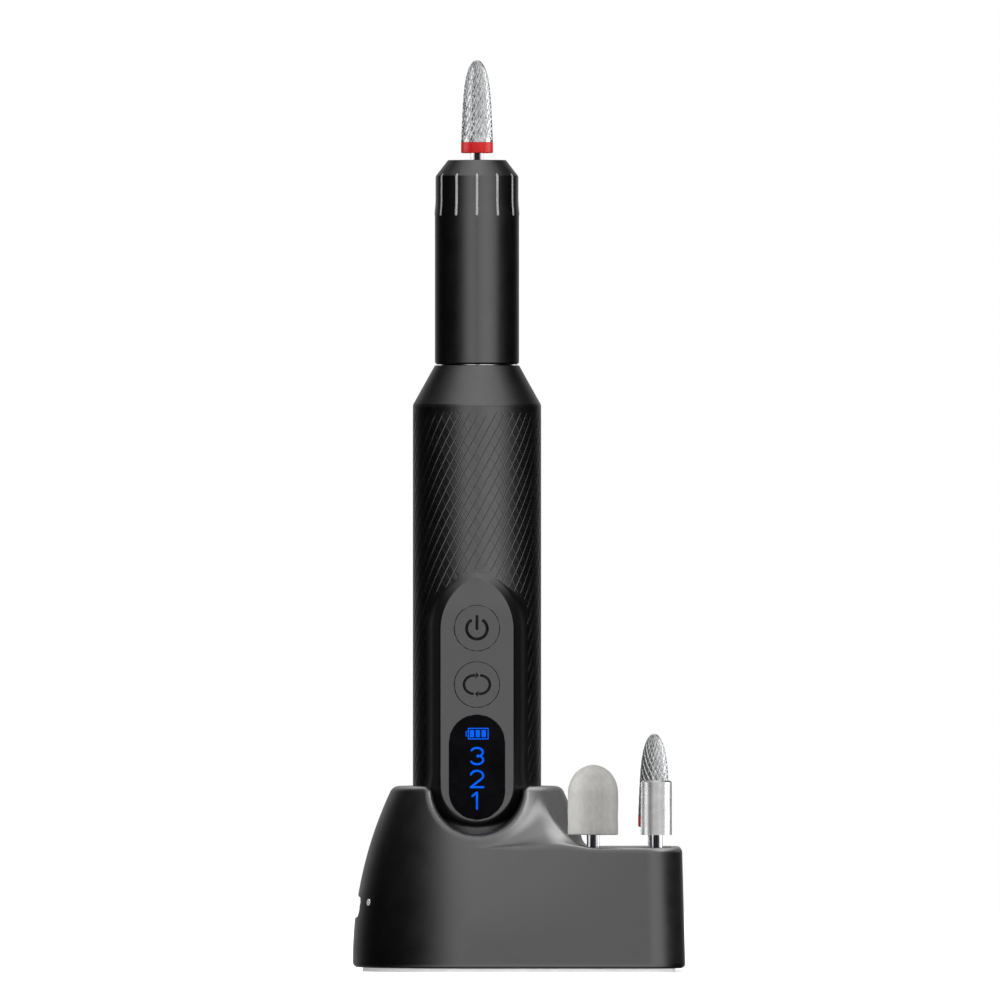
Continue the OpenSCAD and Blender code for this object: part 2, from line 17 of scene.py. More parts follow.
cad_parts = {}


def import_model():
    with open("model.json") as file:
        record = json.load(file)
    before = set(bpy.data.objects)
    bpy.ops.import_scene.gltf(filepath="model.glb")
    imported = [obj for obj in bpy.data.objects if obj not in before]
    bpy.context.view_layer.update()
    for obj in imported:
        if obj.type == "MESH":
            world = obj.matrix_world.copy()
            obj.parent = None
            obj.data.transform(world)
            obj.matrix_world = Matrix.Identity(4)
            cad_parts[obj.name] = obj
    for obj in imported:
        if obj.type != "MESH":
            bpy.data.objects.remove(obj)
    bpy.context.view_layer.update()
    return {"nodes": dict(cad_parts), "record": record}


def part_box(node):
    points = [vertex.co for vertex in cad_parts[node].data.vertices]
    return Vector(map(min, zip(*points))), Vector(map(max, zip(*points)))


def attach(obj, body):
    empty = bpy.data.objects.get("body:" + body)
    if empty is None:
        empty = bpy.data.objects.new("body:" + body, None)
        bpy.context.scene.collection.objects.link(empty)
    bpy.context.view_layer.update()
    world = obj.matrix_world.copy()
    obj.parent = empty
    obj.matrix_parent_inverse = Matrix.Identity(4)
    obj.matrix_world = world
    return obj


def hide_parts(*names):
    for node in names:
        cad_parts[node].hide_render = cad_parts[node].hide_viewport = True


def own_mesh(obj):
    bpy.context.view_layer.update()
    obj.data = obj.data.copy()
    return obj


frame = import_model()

MM = 0.001


def box_mm(node):
    """Lowest and highest corner of a CAD node, in millimetres."""
    low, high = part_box(node)
    return np.array(low) / MM, np.array(high) / MM


def centre_mm(node):
    low, high = box_mm(node)
    return (low + high) / 2


# ---------- sizes from the frame, in millimetres ----------

SHELL_LO, SHELL_HI = box_mm("dock_shell")
GRIP_LO, GRIP_HI = box_mm("rear_housing")
NOSE_LO, NOSE_HI = box_mm("twist_sleeve")
PANEL_LO, PANEL_HI = box_mm("control_panel")
LENS_LO, LENS_HI = box_mm("display_lens")
RACK_LO, RACK_HI = box_mm("bit_rack")

GRIP_R = GRIP_HI[1]
GRIP_WALL = 1.6
NECK_R = NOSE_HI[0]
NECK_Z = NOSE_LO[2]
NOSE_Z = NOSE_HI[2]
CONE_Z = box_mm("shoulder_cone")[1][2]
SEAT_Z = box_mm("rear_cap")[0][2]
FACE_Y = PANEL_LO[1]
PANEL_R = PANEL_HI[0]
PANEL_LOW_Z = PANEL_LO[2] + PANEL_R
PANEL_T = PANEL_HI[1] - PANEL_LO[1]
LENS_R = LENS_HI[0]
LENS_LOW_Z = LENS_LO[2] + LENS_R
LENS_TOP_Z = LENS_HI[2] - LENS_R
KEY_FLANGE = 0.6
KEY_R = box_mm("power_key")[1][0] - KEY_FLANGE
KEY_Y = box_mm("power_key")[0][1]
POWER_Z = centre_mm("power_key")[2]
TURN_Z = centre_mm("direction_key")[2]
DOCK_R = SHELL_HI[1]
DOCK_REACH = SHELL_HI[0]
TOWER_Z = SHELL_HI[2]
PLATFORM_Z = RACK_HI[2]
PAD_T = SHELL_LO[2]


# ---------- mesh helpers ----------


def mesh_object(name, verts, faces, material, normals=None, sharp=None):
    """A smooth-shaded object from vertices in millimetres, with edges steeper than sharp degrees kept."""
    mesh = bpy.data.meshes.new(name)
    mesh.from_pydata((np.asarray(verts, float) * MM).tolist(), [], [list(map(int, f)) for f in faces])
    mesh.materials.append(material)
    mesh.polygons.foreach_set("use_smooth", [True] * len(mesh.polygons))
    mesh.update()
    if normals is not None:
        mesh.normals_split_custom_set_from_vertices([tuple(map(float, n)) for n in normals])
    if sharp is not None:
        mesh.set_sharp_from_angle(angle=math.radians(sharp))
    obj = bpy.data.objects.new(name, mesh)
    bpy.context.scene.collection.objects.link(obj)
    return obj


def flat_normals(obj):
    """Keeps flats flat and rounds round, by weighing each corner's normals by face area."""
    modifier = obj.modifiers.new("weighted", "WEIGHTED_NORMAL")
    modifier.keep_sharp = True


def piece(name, shape, body, slot, *nodes, material=None, flat=False, **looks):
    """Makes an object of (verts, faces), attaches it to its body and hides the CAD nodes that
    it stands for. Its material is the slot's finish unless another is given."""
    obj = mesh_object(name, *shape, material or SLOT_FINISH[slot], **looks)
    if flat:
        flat_normals(obj)
    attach(obj, body)
    if nodes:
        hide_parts(*nodes)
    return obj


def rounded_path(points, radii, steps=6):
    """A polyline whose corners are arcs: points is a list of (a, b), radii one radius per point."""
    path = []
    for i, (point, radius) in enumerate(zip(points, radii)):
        here = np.array(point, float)
        if radius <= 0 or i in (0, len(points) - 1):
            path.append(here)
            continue
        back = np.array(points[i - 1], float) - here
        ahead = np.array(points[i + 1], float) - here
        back /= np.linalg.norm(back)
        ahead /= np.linalg.norm(ahead)
        half = math.acos(np.clip(back @ ahead, -1, 1)) / 2
        bisector = (back + ahead) / np.linalg.norm(back + ahead)
        centre = here + bisector * radius / math.sin(half)
        start = here + back * radius / math.tan(half) - centre
        end = here + ahead * radius / math.tan(half) - centre
        turn = math.acos(np.clip(start @ end / radius**2, -1, 1))
        for k in range(steps + 1):
            t = k / steps
            arm = (math.sin((1 - t) * turn) * start + math.sin(t * turn) * end) / math.sin(turn)
            path.append(centre + arm)
    return np.array(path)


def ring_faces(rings, around, flip=False, loop=False):
    """Quads between rings of vertices. With loop, the last ring is joined to the first.
    With flip, the quads face the other way."""
    faces = []
    for ring in range(rings if loop else rings - 1):
        here, after = ring * around, (ring + 1) % rings * around
        for k in range(around):
            n = (k + 1) % around
            quad = (here + k, here + n, after + n, after + k)
            faces.append((here + k, after + k, after + n, here + n) if flip else quad)
    return faces


def end_faces(rings, around):
    """The two faces that close a tube of rings."""
    return [tuple(range(around))[::-1], tuple(range((rings - 1) * around, rings * around))]


def flipped(faces):
    return [face[::-1] for face in faces]


def revolve(profile, segments=96, centre=(0, 0)):
    """Vertices and faces of a (radius, z) profile turned about Z. Points on the axis become poles."""
    angles = np.arange(segments) * math.tau / segments
    verts, rings = [], []
    for radius, z in profile:
        on_axis = radius < 1e-6
        rings.append([len(verts) + (0 if on_axis else k) for k in range(segments)])
        for a in angles[:1] if on_axis else angles:
            verts.append((centre[0] + radius * math.cos(a), centre[1] + radius * math.sin(a), z))
    faces = []
    for low, high in zip(rings, rings[1:]):
        for k in range(segments):
            n = (k + 1) % segments
            faces.append(tuple(dict.fromkeys((low[k], low[n], high[n], high[k]))))
    return np.array(verts), faces


def thicken(verts, faces, inner):
    """Closes a sheet: inner holds the far side of each vertex, and the sheet's borders are bridged."""
    count = len(verts)
    edges = dict.fromkeys((a, b) for face in faces for a, b in zip(face, face[1:] + face[:1]))
    walls = [(b, a, a + count, b + count) for a, b in edges if (b, a) not in edges]
    back = [tuple(v + count for v in face[::-1]) for face in faces]
    return np.vstack([verts, inner]), faces + back + walls


def weld(points, faces, step=0.002):
    """Joins points that lie within a step of each other and drops the faces that vanish."""
    _, first, number = np.unique(np.round(points / step), axis=0, return_index=True, return_inverse=True)
    number = number.ravel()
    joined = [tuple(dict.fromkeys(number[list(face)].tolist())) for face in faces]
    return points[first], [face for face in joined if len(face) > 2]


def join(parts):
    """Several (verts, faces) as one."""
    verts, faces, base = [], [], 0
    for part_verts, part_faces in parts:
        verts.append(part_verts)
        faces += [tuple(i + base for i in f) for f in part_faces]
        base += len(part_verts)
    return np.vstack(verts), faces


# ---------- signed distances ----------


def smooth_step(low, high, value):
    t = np.clip((value - low) / (high - low), 0, 1)
    return t * t * (3 - 2 * t)


def smooth_min(a, b, radius):
    """The smaller of a and b, blended over radius."""
    h = np.clip(0.5 + 0.5 * (b - a) / radius, 0, 1)
    return b + (a - b) * h - radius * h * (1 - h)


def round_and(a, b, radius):
    """Where two solids overlap, with the edge between them rounded."""
    outside = np.hypot(np.maximum(a + radius, 0), np.maximum(b + radius, 0))
    return np.minimum(np.maximum(a, b), -radius) + outside


def round_or(a, b, radius):
    """Two solids joined, with a fillet in the corner between them."""
    inside = np.hypot(np.maximum(radius - a, 0), np.maximum(radius - b, 0))
    return np.maximum(np.minimum(a, b), radius) - inside


def slot_distance(u, v, half_width, radius):
    """A stadium, lying along u."""
    return np.hypot(np.maximum(np.abs(u) - (half_width - radius), 0), v) - radius


def gradient(distance, points, reach=0.03):
    """Numerical slope of a distance at some points."""
    slope = np.zeros_like(points)
    for axis, shift in enumerate(np.eye(3) * reach):
        slope[:, axis] = (distance(points + shift) - distance(points - shift)) / (2 * reach)
    return slope


def surface_net(distance, low, high, step):
    """Quads on the surface where distance is zero, with each vertex moved onto the surface."""
    axes = [np.arange(a - step, b + 2 * step, step) for a, b in zip(low, high)]
    shape = [len(a) for a in axes]
    grid = np.stack(np.meshgrid(*axes, indexing="ij"), -1).reshape(-1, 3)
    field = np.concatenate([distance(part) for part in np.array_split(grid, 24)]).reshape(shape)
    solid = field < 0
    cells = tuple(n - 1 for n in shape)
    inside = np.zeros(cells, int)
    for corner in itertools.product((0, 1), repeat=3):
        inside += solid[tuple(slice(c, c + n) for c, n in zip(corner, cells))]
    mixed = (inside > 0) & (inside < 8)
    number = np.full(cells, -1)
    number[mixed] = np.arange(mixed.sum())

    where = np.argwhere(mixed)
    total = np.zeros((len(where), 3))
    hits = np.zeros(len(where))
    for axis, first, second in itertools.product(range(3), (0, 1), (0, 1)):
        start = where + np.insert([first, second], axis, 0)
        end = start + np.eye(3, dtype=int)[axis]
        a, b = field[tuple(start.T)], field[tuple(end.T)]
        crossed = (a < 0) != (b < 0)
        point = start.astype(float)
        point[:, axis] += np.where(crossed, a / np.where(crossed, a - b, 1), 0)
        total += point * crossed[:, None]
        hits += crossed
    verts = total / hits[:, None] * step + np.array([a[0] for a in axes])

    quads = []
    for axis in range(3):
        u, v = [a for a in range(3) if a != axis]
        edge = [slice(1, n - 1) for n in shape]
        edge[axis] = slice(0, shape[axis] - 1)
        change = solid != np.roll(solid, -1, axis)
        found = np.argwhere(change[tuple(edge)]) + (np.arange(3) != axis)
        ring = []
        for du, dv in ((-1, -1), (0, -1), (0, 0), (-1, 0)):
            cell = found.copy()
            cell[:, u] += du
            cell[:, v] += dv
            ring.append(number[tuple(cell.T)])
        ring = np.stack(ring, 1)
        leaving = solid[tuple(found.T)] ^ (axis == 1)
        ring[~leaving] = ring[~leaving][:, ::-1]
        quads.append(ring)

    for _ in range(7):
        value, slope = distance(verts), gradient(distance, verts)
        move = slope * (value / np.maximum((slope**2).sum(1), 0.05))[:, None]
        verts = verts - np.clip(move, -step / 2, step / 2)
    normals = gradient(distance, verts)
    normals /= np.maximum(np.linalg.norm(normals, axis=1), 1e-9)[:, None]
    return verts, normals, np.concatenate(quads)


# ---------- materials ----------


def feed(tree, sockets, values):
    """Gives each socket another node's output or a constant."""
    for socket, value in zip(sockets, values):
        if isinstance(value, bpy.types.NodeSocket):
            tree.links.new(value, socket)
        else:
            socket.default_value = value


def add_node(tree, kind, **inputs):
    """A shader node with the named inputs fed."""
    node = tree.nodes.new("ShaderNode" + kind)
    feed(tree, [node.inputs[name.replace("_", " ")] for name in inputs], inputs.values())
    return node


def math_node(tree, operation, *values, clamp=False):
    node = add_node(tree, "Math")
    node.operation = operation
    node.use_clamp = clamp
    feed(tree, node.inputs, values)
    return node.outputs[0]


def map_range(tree, value, low, high, to_low, to_high, smooth=False):
    node = add_node(
        tree, "MapRange", Value=value, From_Min=low, From_Max=high, To_Min=to_low, To_Max=to_high
    )
    node.interpolation_type = "SMOOTHSTEP" if smooth else "LINEAR"
    return node.outputs["Result"]


def grey(level, blue=0.0):
    """A grey, with a little more or less blue."""
    return (level, level, level + blue)


class Finish:
    """A Principled material and the textures that feed it, all in object coordinates."""

    def __init__(self, name, **constants):
        self.material = bpy.data.materials.new(name)
        self.material.use_nodes = True
        self.tree = self.material.node_tree
        self.shader = self.tree.nodes["Principled BSDF"]
        for socket, value in constants.items():
            self.shader.inputs[socket.replace("_", " ")].default_value = value
        self.place = add_node(self.tree, "TexCoord").outputs["Object"]

    def link(self, output, socket):
        self.tree.links.new(output, self.shader.inputs[socket])

    def stretch(self, x, y, z):
        """Object coordinates scaled along each axis."""
        return add_node(self.tree, "Mapping", Vector=self.place, Scale=(x, y, z)).outputs["Vector"]

    def noise(self, size_mm, detail, where=None, roughness=0.55):
        """Noise whose blobs are about size_mm across."""
        node = add_node(self.tree, "TexNoise", Vector=where or self.place, Scale=1 / (size_mm * MM))
        feed(self.tree, [node.inputs["Detail"], node.inputs["Roughness"]], [detail, roughness])
        return node.outputs["Fac"]

    def mix(self, low, high, factor, share=(0.3, 0.7)):
        """A colour between two colours, low up to the first share of factor and high from the second."""
        ramp = add_node(self.tree, "ValToRGB", Fac=factor)
        for stop, position, colour in zip(ramp.color_ramp.elements, share, (low, high)):
            stop.position = position
            stop.color = (*colour, 1)
        return ramp.outputs["Color"]

    def colour(self, low, high, factor, share=(0.3, 0.7)):
        self.link(self.mix(low, high, factor, share), "Base Color")

    def roughness(self, low, high, factor, share=(0.3, 0.7)):
        self.link(map_range(self.tree, factor, *share, low, high), "Roughness")

    def bump(self, height, depth_mm, strength=1.0):
        """Adds a layer of bump over the layers that are there already."""
        node = add_node(self.tree, "Bump", Height=height, Distance=depth_mm * MM, Strength=strength)
        old = self.shader.inputs["Normal"].links
        if old:
            self.tree.links.new(old[0].from_socket, node.inputs["Normal"])
        self.link(node.outputs["Normal"], "Normal")


def mottled(name, dark, light, rough, spots, depth_mm, **constants):
    """A finish whose tone, sheen and bump each follow noise. spots holds (size_mm, detail) for each."""
    finish = Finish(name, **constants)
    tone, sheen, grain = spots
    finish.colour(dark, light, finish.noise(*tone))
    finish.roughness(*rough, finish.noise(*sheen))
    finish.bump(finish.noise(*grain), depth_mm)
    return finish.material


def moulded_plastic(name, dark, light, rough, grain_mm=0.14, depth_mm=0.0035):
    """Moulded plastic: spark-eroded grain, faint flow marks, smudged sheen and slightly worn edges."""
    finish = Finish(name, IOR=1.5)
    flow = finish.noise(9, 4)
    smudge = finish.noise(3.5, 5, roughness=0.65)
    wear = add_node(finish.tree, "NewGeometry").outputs["Pointiness"]
    edge = map_range(finish.tree, wear, 0.53, 0.62, 0, 0.35)
    tone = math_node(finish.tree, "ADD", math_node(finish.tree, "MULTIPLY", flow, 0.6), edge, clamp=True)
    finish.colour(dark, light, tone, (0.1, 1.0))
    finish.roughness(*rough, smudge)
    finish.bump(finish.noise(grain_mm, 2), depth_mm)
    finish.bump(finish.noise(6, 1), 0.004, 0.6)
    return finish.material


def satin_black(name, rough, grain_mm=0.14, depth_mm=0.0035):
    return moulded_plastic(name, grey(0.0003, 0.0001), grey(0.0014, 0.0001), rough, grain_mm, depth_mm)


def turned_metal(name, dark, light, rough=(0.18, 0.3), line_mm=0.05, depth_mm=0.0012):
    """Turned or ground metal: fine lines round the axis and a cloudy sheen."""
    finish = Finish(name, Metallic=1.0)
    lines = finish.noise(line_mm, 2, finish.stretch(0.04, 0.04, 1))
    finish.colour(dark, light, finish.noise(1.8, 4))
    finish.roughness(*rough, lines)
    finish.bump(lines, depth_mm)
    return finish.material


def plain_metal(name, dark, light, rough=(0.25, 0.4), spot_mm=0.8, depth_mm=0.002):
    """Stamped, plated or cast metal with a mottled sheen."""
    spots = [(spot_mm, 5), (spot_mm * 3, 3), (spot_mm / 4, 3)]
    return mottled(name, dark, light, rough, spots, depth_mm, Metallic=1.0)


def soft_rubber(name, dark, light, **constants):
    return mottled(name, dark, light, (0.55, 0.7), [(4, 4), (1.2, 4), (0.25, 3)], 0.006, **constants)


def smoked_window():
    """Polished black window with faint smears."""
    finish = Finish("smoked_window", IOR=1.45, Specular_IOR_Level=0.1)
    finish.colour(grey(0.0012, 0.0002), grey(0.003, 0.0005), finish.noise(5, 3))
    finish.roughness(0.03, 0.09, finish.noise(2.5, 5), (0.35, 0.75))
    finish.bump(finish.noise(7, 1), 0.0006, 0.4)
    return finish.material


def ceramic_stone():
    """Fine abrasive ceramic: chalky, with faint lengthwise wear and a slightly uneven surface."""
    finish = Finish("ceramic_stone", IOR=1.45, Specular_IOR_Level=0.3)
    streaks = finish.noise(0.6, 3, finish.stretch(1, 1, 0.35))
    cloud = finish.noise(2.6, 4)
    tone = math_node(finish.tree, "MULTIPLY", math_node(finish.tree, "ADD", streaks, cloud), 0.5)
    finish.colour((0.102, 0.100, 0.095), (0.142, 0.140, 0.134), tone)
    finish.roughness(0.55, 0.8, cloud)
    finish.bump(finish.noise(0.2, 4), 0.008)
    finish.bump(finish.noise(1.1, 3), 0.03, 0.6)
    finish.bump(streaks, 0.006, 0.7)
    return finish.material


def carbide_metal():
    """Ground carbide: bright lands with fine grinding lines."""
    finish = Finish("carbide_metal", Metallic=1.0)
    lines = finish.noise(0.04, 2, finish.stretch(1, 1, 0.3))
    finish.colour((0.12, 0.122, 0.124), (0.21, 0.212, 0.214), finish.noise(0.6, 4))
    finish.roughness(0.2, 0.36, lines)
    finish.bump(lines, 0.0015)
    return finish.material


def lit_segment():
    """Blue display segments with a slight unevenness in their light."""
    finish = Finish("lit_segment", Emission_Strength=1.0, Specular_IOR_Level=0.0)
    finish.shader.inputs["Base Color"].default_value = (0.0, 0.002, 0.01, 1)
    glow = finish.mix((0.002, 0.10, 0.85), (0.004, 0.15, 1.0), finish.noise(0.4, 3))
    finish.link(glow, "Emission Color")
    finish.roughness(0.4, 0.6, finish.noise(0.5, 2))
    return finish.material


def circuit_board():
    """Solder mask over copper traces."""
    finish = Finish("circuit_board", IOR=1.5)
    traces = add_node(
        finish.tree, "TexBrick", Vector=finish.place, Scale=1 / (3 * MM), Color1=(0.01, 0.07, 0.03, 1),
        Color2=(0.012, 0.085, 0.035, 1), Mortar=(0.02, 0.14, 0.06, 1),
    )
    finish.link(traces.outputs["Color"], "Base Color")
    finish.roughness(0.25, 0.4, finish.noise(1, 3))
    finish.bump(traces.outputs["Fac"], 0.02)
    return finish.material


BLACK_GRIP = satin_black("grip_black", (0.32, 0.4), 0.1, 0.002)
BLACK_DOCK = satin_black("dock_black", (0.33, 0.4))
BLACK_COARSE = satin_black("coarse_black", (0.5, 0.62), 0.3, 0.012)
STAMPED = plain_metal("stamped_steel", grey(0.24, 0.005), grey(0.38, 0.005))
POLISHED = turned_metal("polished_steel", grey(0.30, 0.01), grey(0.42, 0.01), (0.10, 0.2))
SEGMENT = lit_segment()
MARK = mottled(
    "printed_mark", grey(0.001, 0.0002), grey(0.003, 0.0004), (0.5, 0.65),
    [(0.6, 4), (0.3, 3), (0.08, 3)], 0.002, IOR=1.5, Specular_IOR_Level=0.07,
)
STRIP = mottled(
    "light_strip", grey(0.14), grey(0.2), (0.4, 0.55), [(0.8, 4), (0.5, 4), (0.1, 3)], 0.004, IOR=1.45
)

SLOT_FINISH = {
    "dock_plastic": BLACK_DOCK,
    "rack_plastic": BLACK_DOCK,
    "base_plastic": BLACK_COARSE,
    "black_parts": BLACK_COARSE,
    "grip_plastic": BLACK_GRIP,
    "panel_plastic": satin_black("panel_black", (0.36, 0.42), 0.08, 0.0015),
    "nose_plastic": satin_black("nose_black", (0.32, 0.39), 0.09, 0.0015),
    "chassis_plastic": moulded_plastic("natural_nylon", (0.28, 0.27, 0.24), (0.36, 0.35, 0.32), (0.4, 0.55)),
    "display_white": moulded_plastic("white_frame", grey(0.4), grey(0.5), (0.4, 0.5)),
    "cell_wrap": moulded_plastic("cell_wrap", (0.02, 0.07, 0.22), (0.03, 0.1, 0.3), (0.2, 0.32)),
    "pad_rubber": soft_rubber(
        "pad_silicone", grey(0.74, -0.01), grey(0.84, -0.01), IOR=1.42, Subsurface_Weight=0.1
    ),
    "damper_rubber": soft_rubber("dark_rubber", grey(0.008), grey(0.016)),
    "lead_insulation": soft_rubber("red_insulation", (0.18, 0.008, 0.008), (0.26, 0.012, 0.012)),
    "screw_steel": STAMPED,
    "ballast_steel": STAMPED,
    "socket_steel": STAMPED,
    "nickel_strip": STAMPED,
    "motor_steel": STAMPED,
    "spring_steel": POLISHED,
    "bearing_steel": POLISHED,
    "machined_steel": turned_metal("turned_steel", (0.25, 0.255, 0.26), (0.4, 0.405, 0.41)),
    # The bit shanks' steel is painted almost black: a painted dark reflection that stands in for the dim
    # surroundings such steel would mirror.
    "shank_steel": turned_metal("shank_painted_dark_reflection", grey(0.006, 0.0005), grey(0.013, 0.001), (0.12, 0.2)),
    "mandrel_chrome": turned_metal(
        "matt_chrome", grey(0.16, 0.002), grey(0.2, 0.002), (0.36, 0.42), 0.25, 0.0004
    ),
    "gold_contact": plain_metal(
        "gold_plate", (0.45, 0.30, 0.10), (0.6, 0.42, 0.16), (0.15, 0.28), 0.5, 0.001
    ),
    "copper_steel": plain_metal(
        "varnished_copper", (0.20, 0.08, 0.04), (0.36, 0.16, 0.08), (0.3, 0.5), 0.5
    ),
    "magnet": plain_metal("ferrite", grey(0.03, 0.002), grey(0.06, 0.002), (0.5, 0.7), 0.6),
    "carbide": carbide_metal(),
    "grade_band": mottled(
        "band_enamel", (0.20, 0.003, 0.004), (0.28, 0.005, 0.006), (0.25, 0.4),
        [(1.2, 4), (0.7, 4), (0.4, 3)], 0.004, IOR=1.5, Specular_IOR_Level=0.1,
    ),
    "dome_ceramic": ceramic_stone(),
    "lens_gloss": smoked_window(),
    "light_pipe": mottled(
        "frosted_pipe", (0.30, 0.315, 0.33), (0.4, 0.415, 0.435), (0.2, 0.35),
        [(0.5, 3), (0.3, 3), (0.15, 3)], 0.004, IOR=1.49, Transmission_Weight=0.35,
    ),
    "circuit_board": circuit_board(),
}


# ---------- dock ----------

BELL_ARC = 76.0
BELL_FOOT_Z = 2.0
BLOCK_CORNER = 7.0
BLOCK_DRAFT = 0.6
SHELL_WALL = 2.0
FRONT_FILLET = 11.2
SIDE_FILLET = 1.5
FRONT_SWING = 42
SIDE_SWING = 66
WELL_R = GRIP_R + 0.3
WELL_TUBE_R = WELL_R + 1.8
NOTCH_R = PANEL_R + 1.65
NOTCH_Z = TOWER_Z - 0.4
NOTCH_Y = -6.0
PORT_Z = centre_mm("usb_socket")[2]
PORT_X = -17.0
PORT_HALF = 5.0
PORT_R = 1.9
POGO_X = centre_mm("plus_pogo_pin")[0]
POGO_BORE_R = 1.25
RACK_GAP = 0.12
RACK_CLEAR_R = 22.5
RACK_DEPTH = 3.2


def bell_radius(z):
    """Radius of the tower's flank, an arc that stands upright near the foot."""
    return DOCK_R - BELL_ARC + np.sqrt(BELL_ARC**2 - (np.maximum(z, BELL_FOOT_Z) - BELL_FOOT_Z) ** 2)


def block_plan(x, y, z, inset=0.0):
    """Distance from the block's walls: the hull of the tower's round and two corner rounds."""
    lean = BLOCK_DRAFT * np.clip((z - PAD_T) / (PLATFORM_Z - PAD_T), 0, 1.3)
    tower_r = bell_radius(z) - inset
    corner_r = BLOCK_CORNER - inset
    cx = DOCK_REACH - BLOCK_CORNER - lean
    cy = DOCK_R - BLOCK_CORNER - lean
    side = np.abs(y)
    tilt = np.arctan2(cy, cx) + np.arccos(np.clip((tower_r - corner_r) / np.hypot(cx, cy), -1, 1))
    nx, ny = np.cos(tilt), np.sin(tilt)
    along = x * ny - side * nx
    length = cx * ny - cy * nx
    round_end = np.hypot(x, side) - tower_r
    end_wall = x - cx - corner_r
    flat = np.maximum(x * nx + side * ny - tower_r, end_wall)
    corner = np.where(side > cy, np.hypot(x - cx, side - cy) - corner_r, end_wall)
    return np.where(along < 0, round_end, np.where(along > length, corner, flat))


def dock_distance(p):
    """Signed distance of the dock's shell."""
    x, y, z = p.T
    rho = np.hypot(x, y)
    bell = rho - bell_radius(z)
    flank = bell * np.cos(np.arcsin(np.clip((z - BELL_FOOT_Z) / BELL_ARC, 0, 0.9)))
    tower = round_and(flank, z - TOWER_Z, 1.0)

    # The fillet where the block meets the tower is wide in front and tight at the side,
    # and both it and the block's top edge run out where the two outlines meet.
    plan = block_plan(x, y, z)
    ledge = bell - plan
    swing = np.degrees(np.arctan2(x, np.abs(y)))
    fillet = FRONT_FILLET + (SIDE_FILLET - FRONT_FILLET) * smooth_step(FRONT_SWING, SIDE_SWING, swing)
    fillet = np.maximum(smooth_min(1.5 * ledge, fillet, 3.0), 0.02)
    edge = np.clip(0.35 * ledge, 0.05, 0.8)
    block = round_and(plan, round_or(tower, z - PLATFORM_Z, fillet), edge)
    solid = round_and(np.minimum(tower, block), PAD_T - z, 0.9)

    notch = np.maximum(np.hypot(x, z - NOTCH_Z) - NOTCH_R, y - NOTCH_Y)
    solid = round_and(solid, -notch, 1.4)
    well = np.maximum(rho - WELL_R, SEAT_Z - z)
    solid = round_and(solid, -well, 0.5)
    port = np.maximum(slot_distance(y, z - PORT_Z, PORT_HALF, PORT_R), x - PORT_X)
    solid = round_and(solid, -port, 0.3)
    pogo_bores = np.hypot(np.abs(x) - POGO_X, y) - POGO_BORE_R
    solid = np.maximum(solid, -pogo_bores)

    pocket_ends = np.maximum(RACK_LO[0] - RACK_GAP - x, x - RACK_HI[0] - RACK_GAP)
    pocket = np.maximum(np.abs(y) - (RACK_HI[1] + RACK_GAP), pocket_ends)
    pocket = np.maximum(pocket, RACK_CLEAR_R - RACK_GAP - rho)
    pocket = np.maximum(pocket, np.abs(z - PLATFORM_Z + RACK_DEPTH / 2) - RACK_DEPTH / 2 - 0.02)
    solid = round_and(solid, -pocket, 0.12)

    inner_bell = np.maximum(flank + SHELL_WALL, z - (TOWER_Z - SHELL_WALL))
    inner_block = np.maximum(block_plan(x, y, z, SHELL_WALL), z - (PLATFORM_Z - SHELL_WALL))
    tube = np.maximum(rho - WELL_TUBE_R, SEAT_Z - 2 - z)
    lining = np.maximum(np.hypot(x, z - NOTCH_Z) - NOTCH_R - SHELL_WALL, y + WELL_R)
    cavity = np.maximum(np.minimum(inner_bell, inner_block), -np.minimum(tube, lining))
    return np.maximum(solid, -cavity)


def dock_shell():
    step = 0.45
    verts, normals, quads = surface_net(dock_distance, SHELL_LO, SHELL_HI, step)
    shape = verts, quads
    piece("dock_shell_moulding", shape, "dock", "dock_plastic", "dock_shell", normals=normals)


def charge_light():
    """A frosted dot, flush with the tower's flank."""
    centre = centre_mm("charge_light_pipe")
    radius, length, crown = 0.72, 3, 0.06
    front = bell_radius(centre[2]) + crown
    back = front - length
    outline = [(0, back), (radius, back), (radius, front), (0, front + crown)]
    verts, faces = revolve(rounded_path(outline, [0, 0.1, 0.12, 0]), 32)
    ax, ay = centre[:2] / np.linalg.norm(centre[:2])
    verts = verts @ np.array([[-ay, ax, 0], [0, 0, 1], [ax, ay, 0]]) + np.array([0, 0, centre[2]])
    shape = verts, flipped(faces)
    piece("charge_light_dot", shape, "dock", "light_pipe", "charge_light_pipe", flat=True)


# ---------- outline of the panel's face ----------

ARCH_R = 10.6
ARCH_Z = 65.0
TIP_R = 2.2


def panel_outline():
    """Outline of the panel's face as points and outward normals, counter-clockwise from the front."""
    centre_x = ARCH_R - PANEL_R
    tip_drop = math.sqrt((ARCH_R - TIP_R) ** 2 - centre_x**2)
    tip_angle = math.atan2(tip_drop, centre_x)
    points, normals = [], []

    def arc(cx, cz, radius, start, end, count):
        for k in range(count):
            a = start + (end - start) * k / count
            normals.append((math.cos(a), math.sin(a)))
            points.append((cx + radius * math.cos(a), cz + radius * math.sin(a)))

    def side(x, z0, z1, count=40):
        for k in range(count):
            points.append((x, z0 + (z1 - z0) * k / count))
            normals.append((math.copysign(1, x), 0))

    arc(0, PANEL_LOW_Z, PANEL_R, math.pi, 2 * math.pi, 72)
    side(PANEL_R, PANEL_LOW_Z, ARCH_Z)
    arc(-centre_x, ARCH_Z, ARCH_R, 0, tip_angle, 36)
    arc(0, ARCH_Z + tip_drop, TIP_R, tip_angle, math.pi - tip_angle, 18)
    arc(centre_x, ARCH_Z, ARCH_R, math.pi - tip_angle, math.pi, 36)
    side(-PANEL_R, ARCH_Z, PANEL_LOW_Z)
    return np.array(points), np.array(normals)


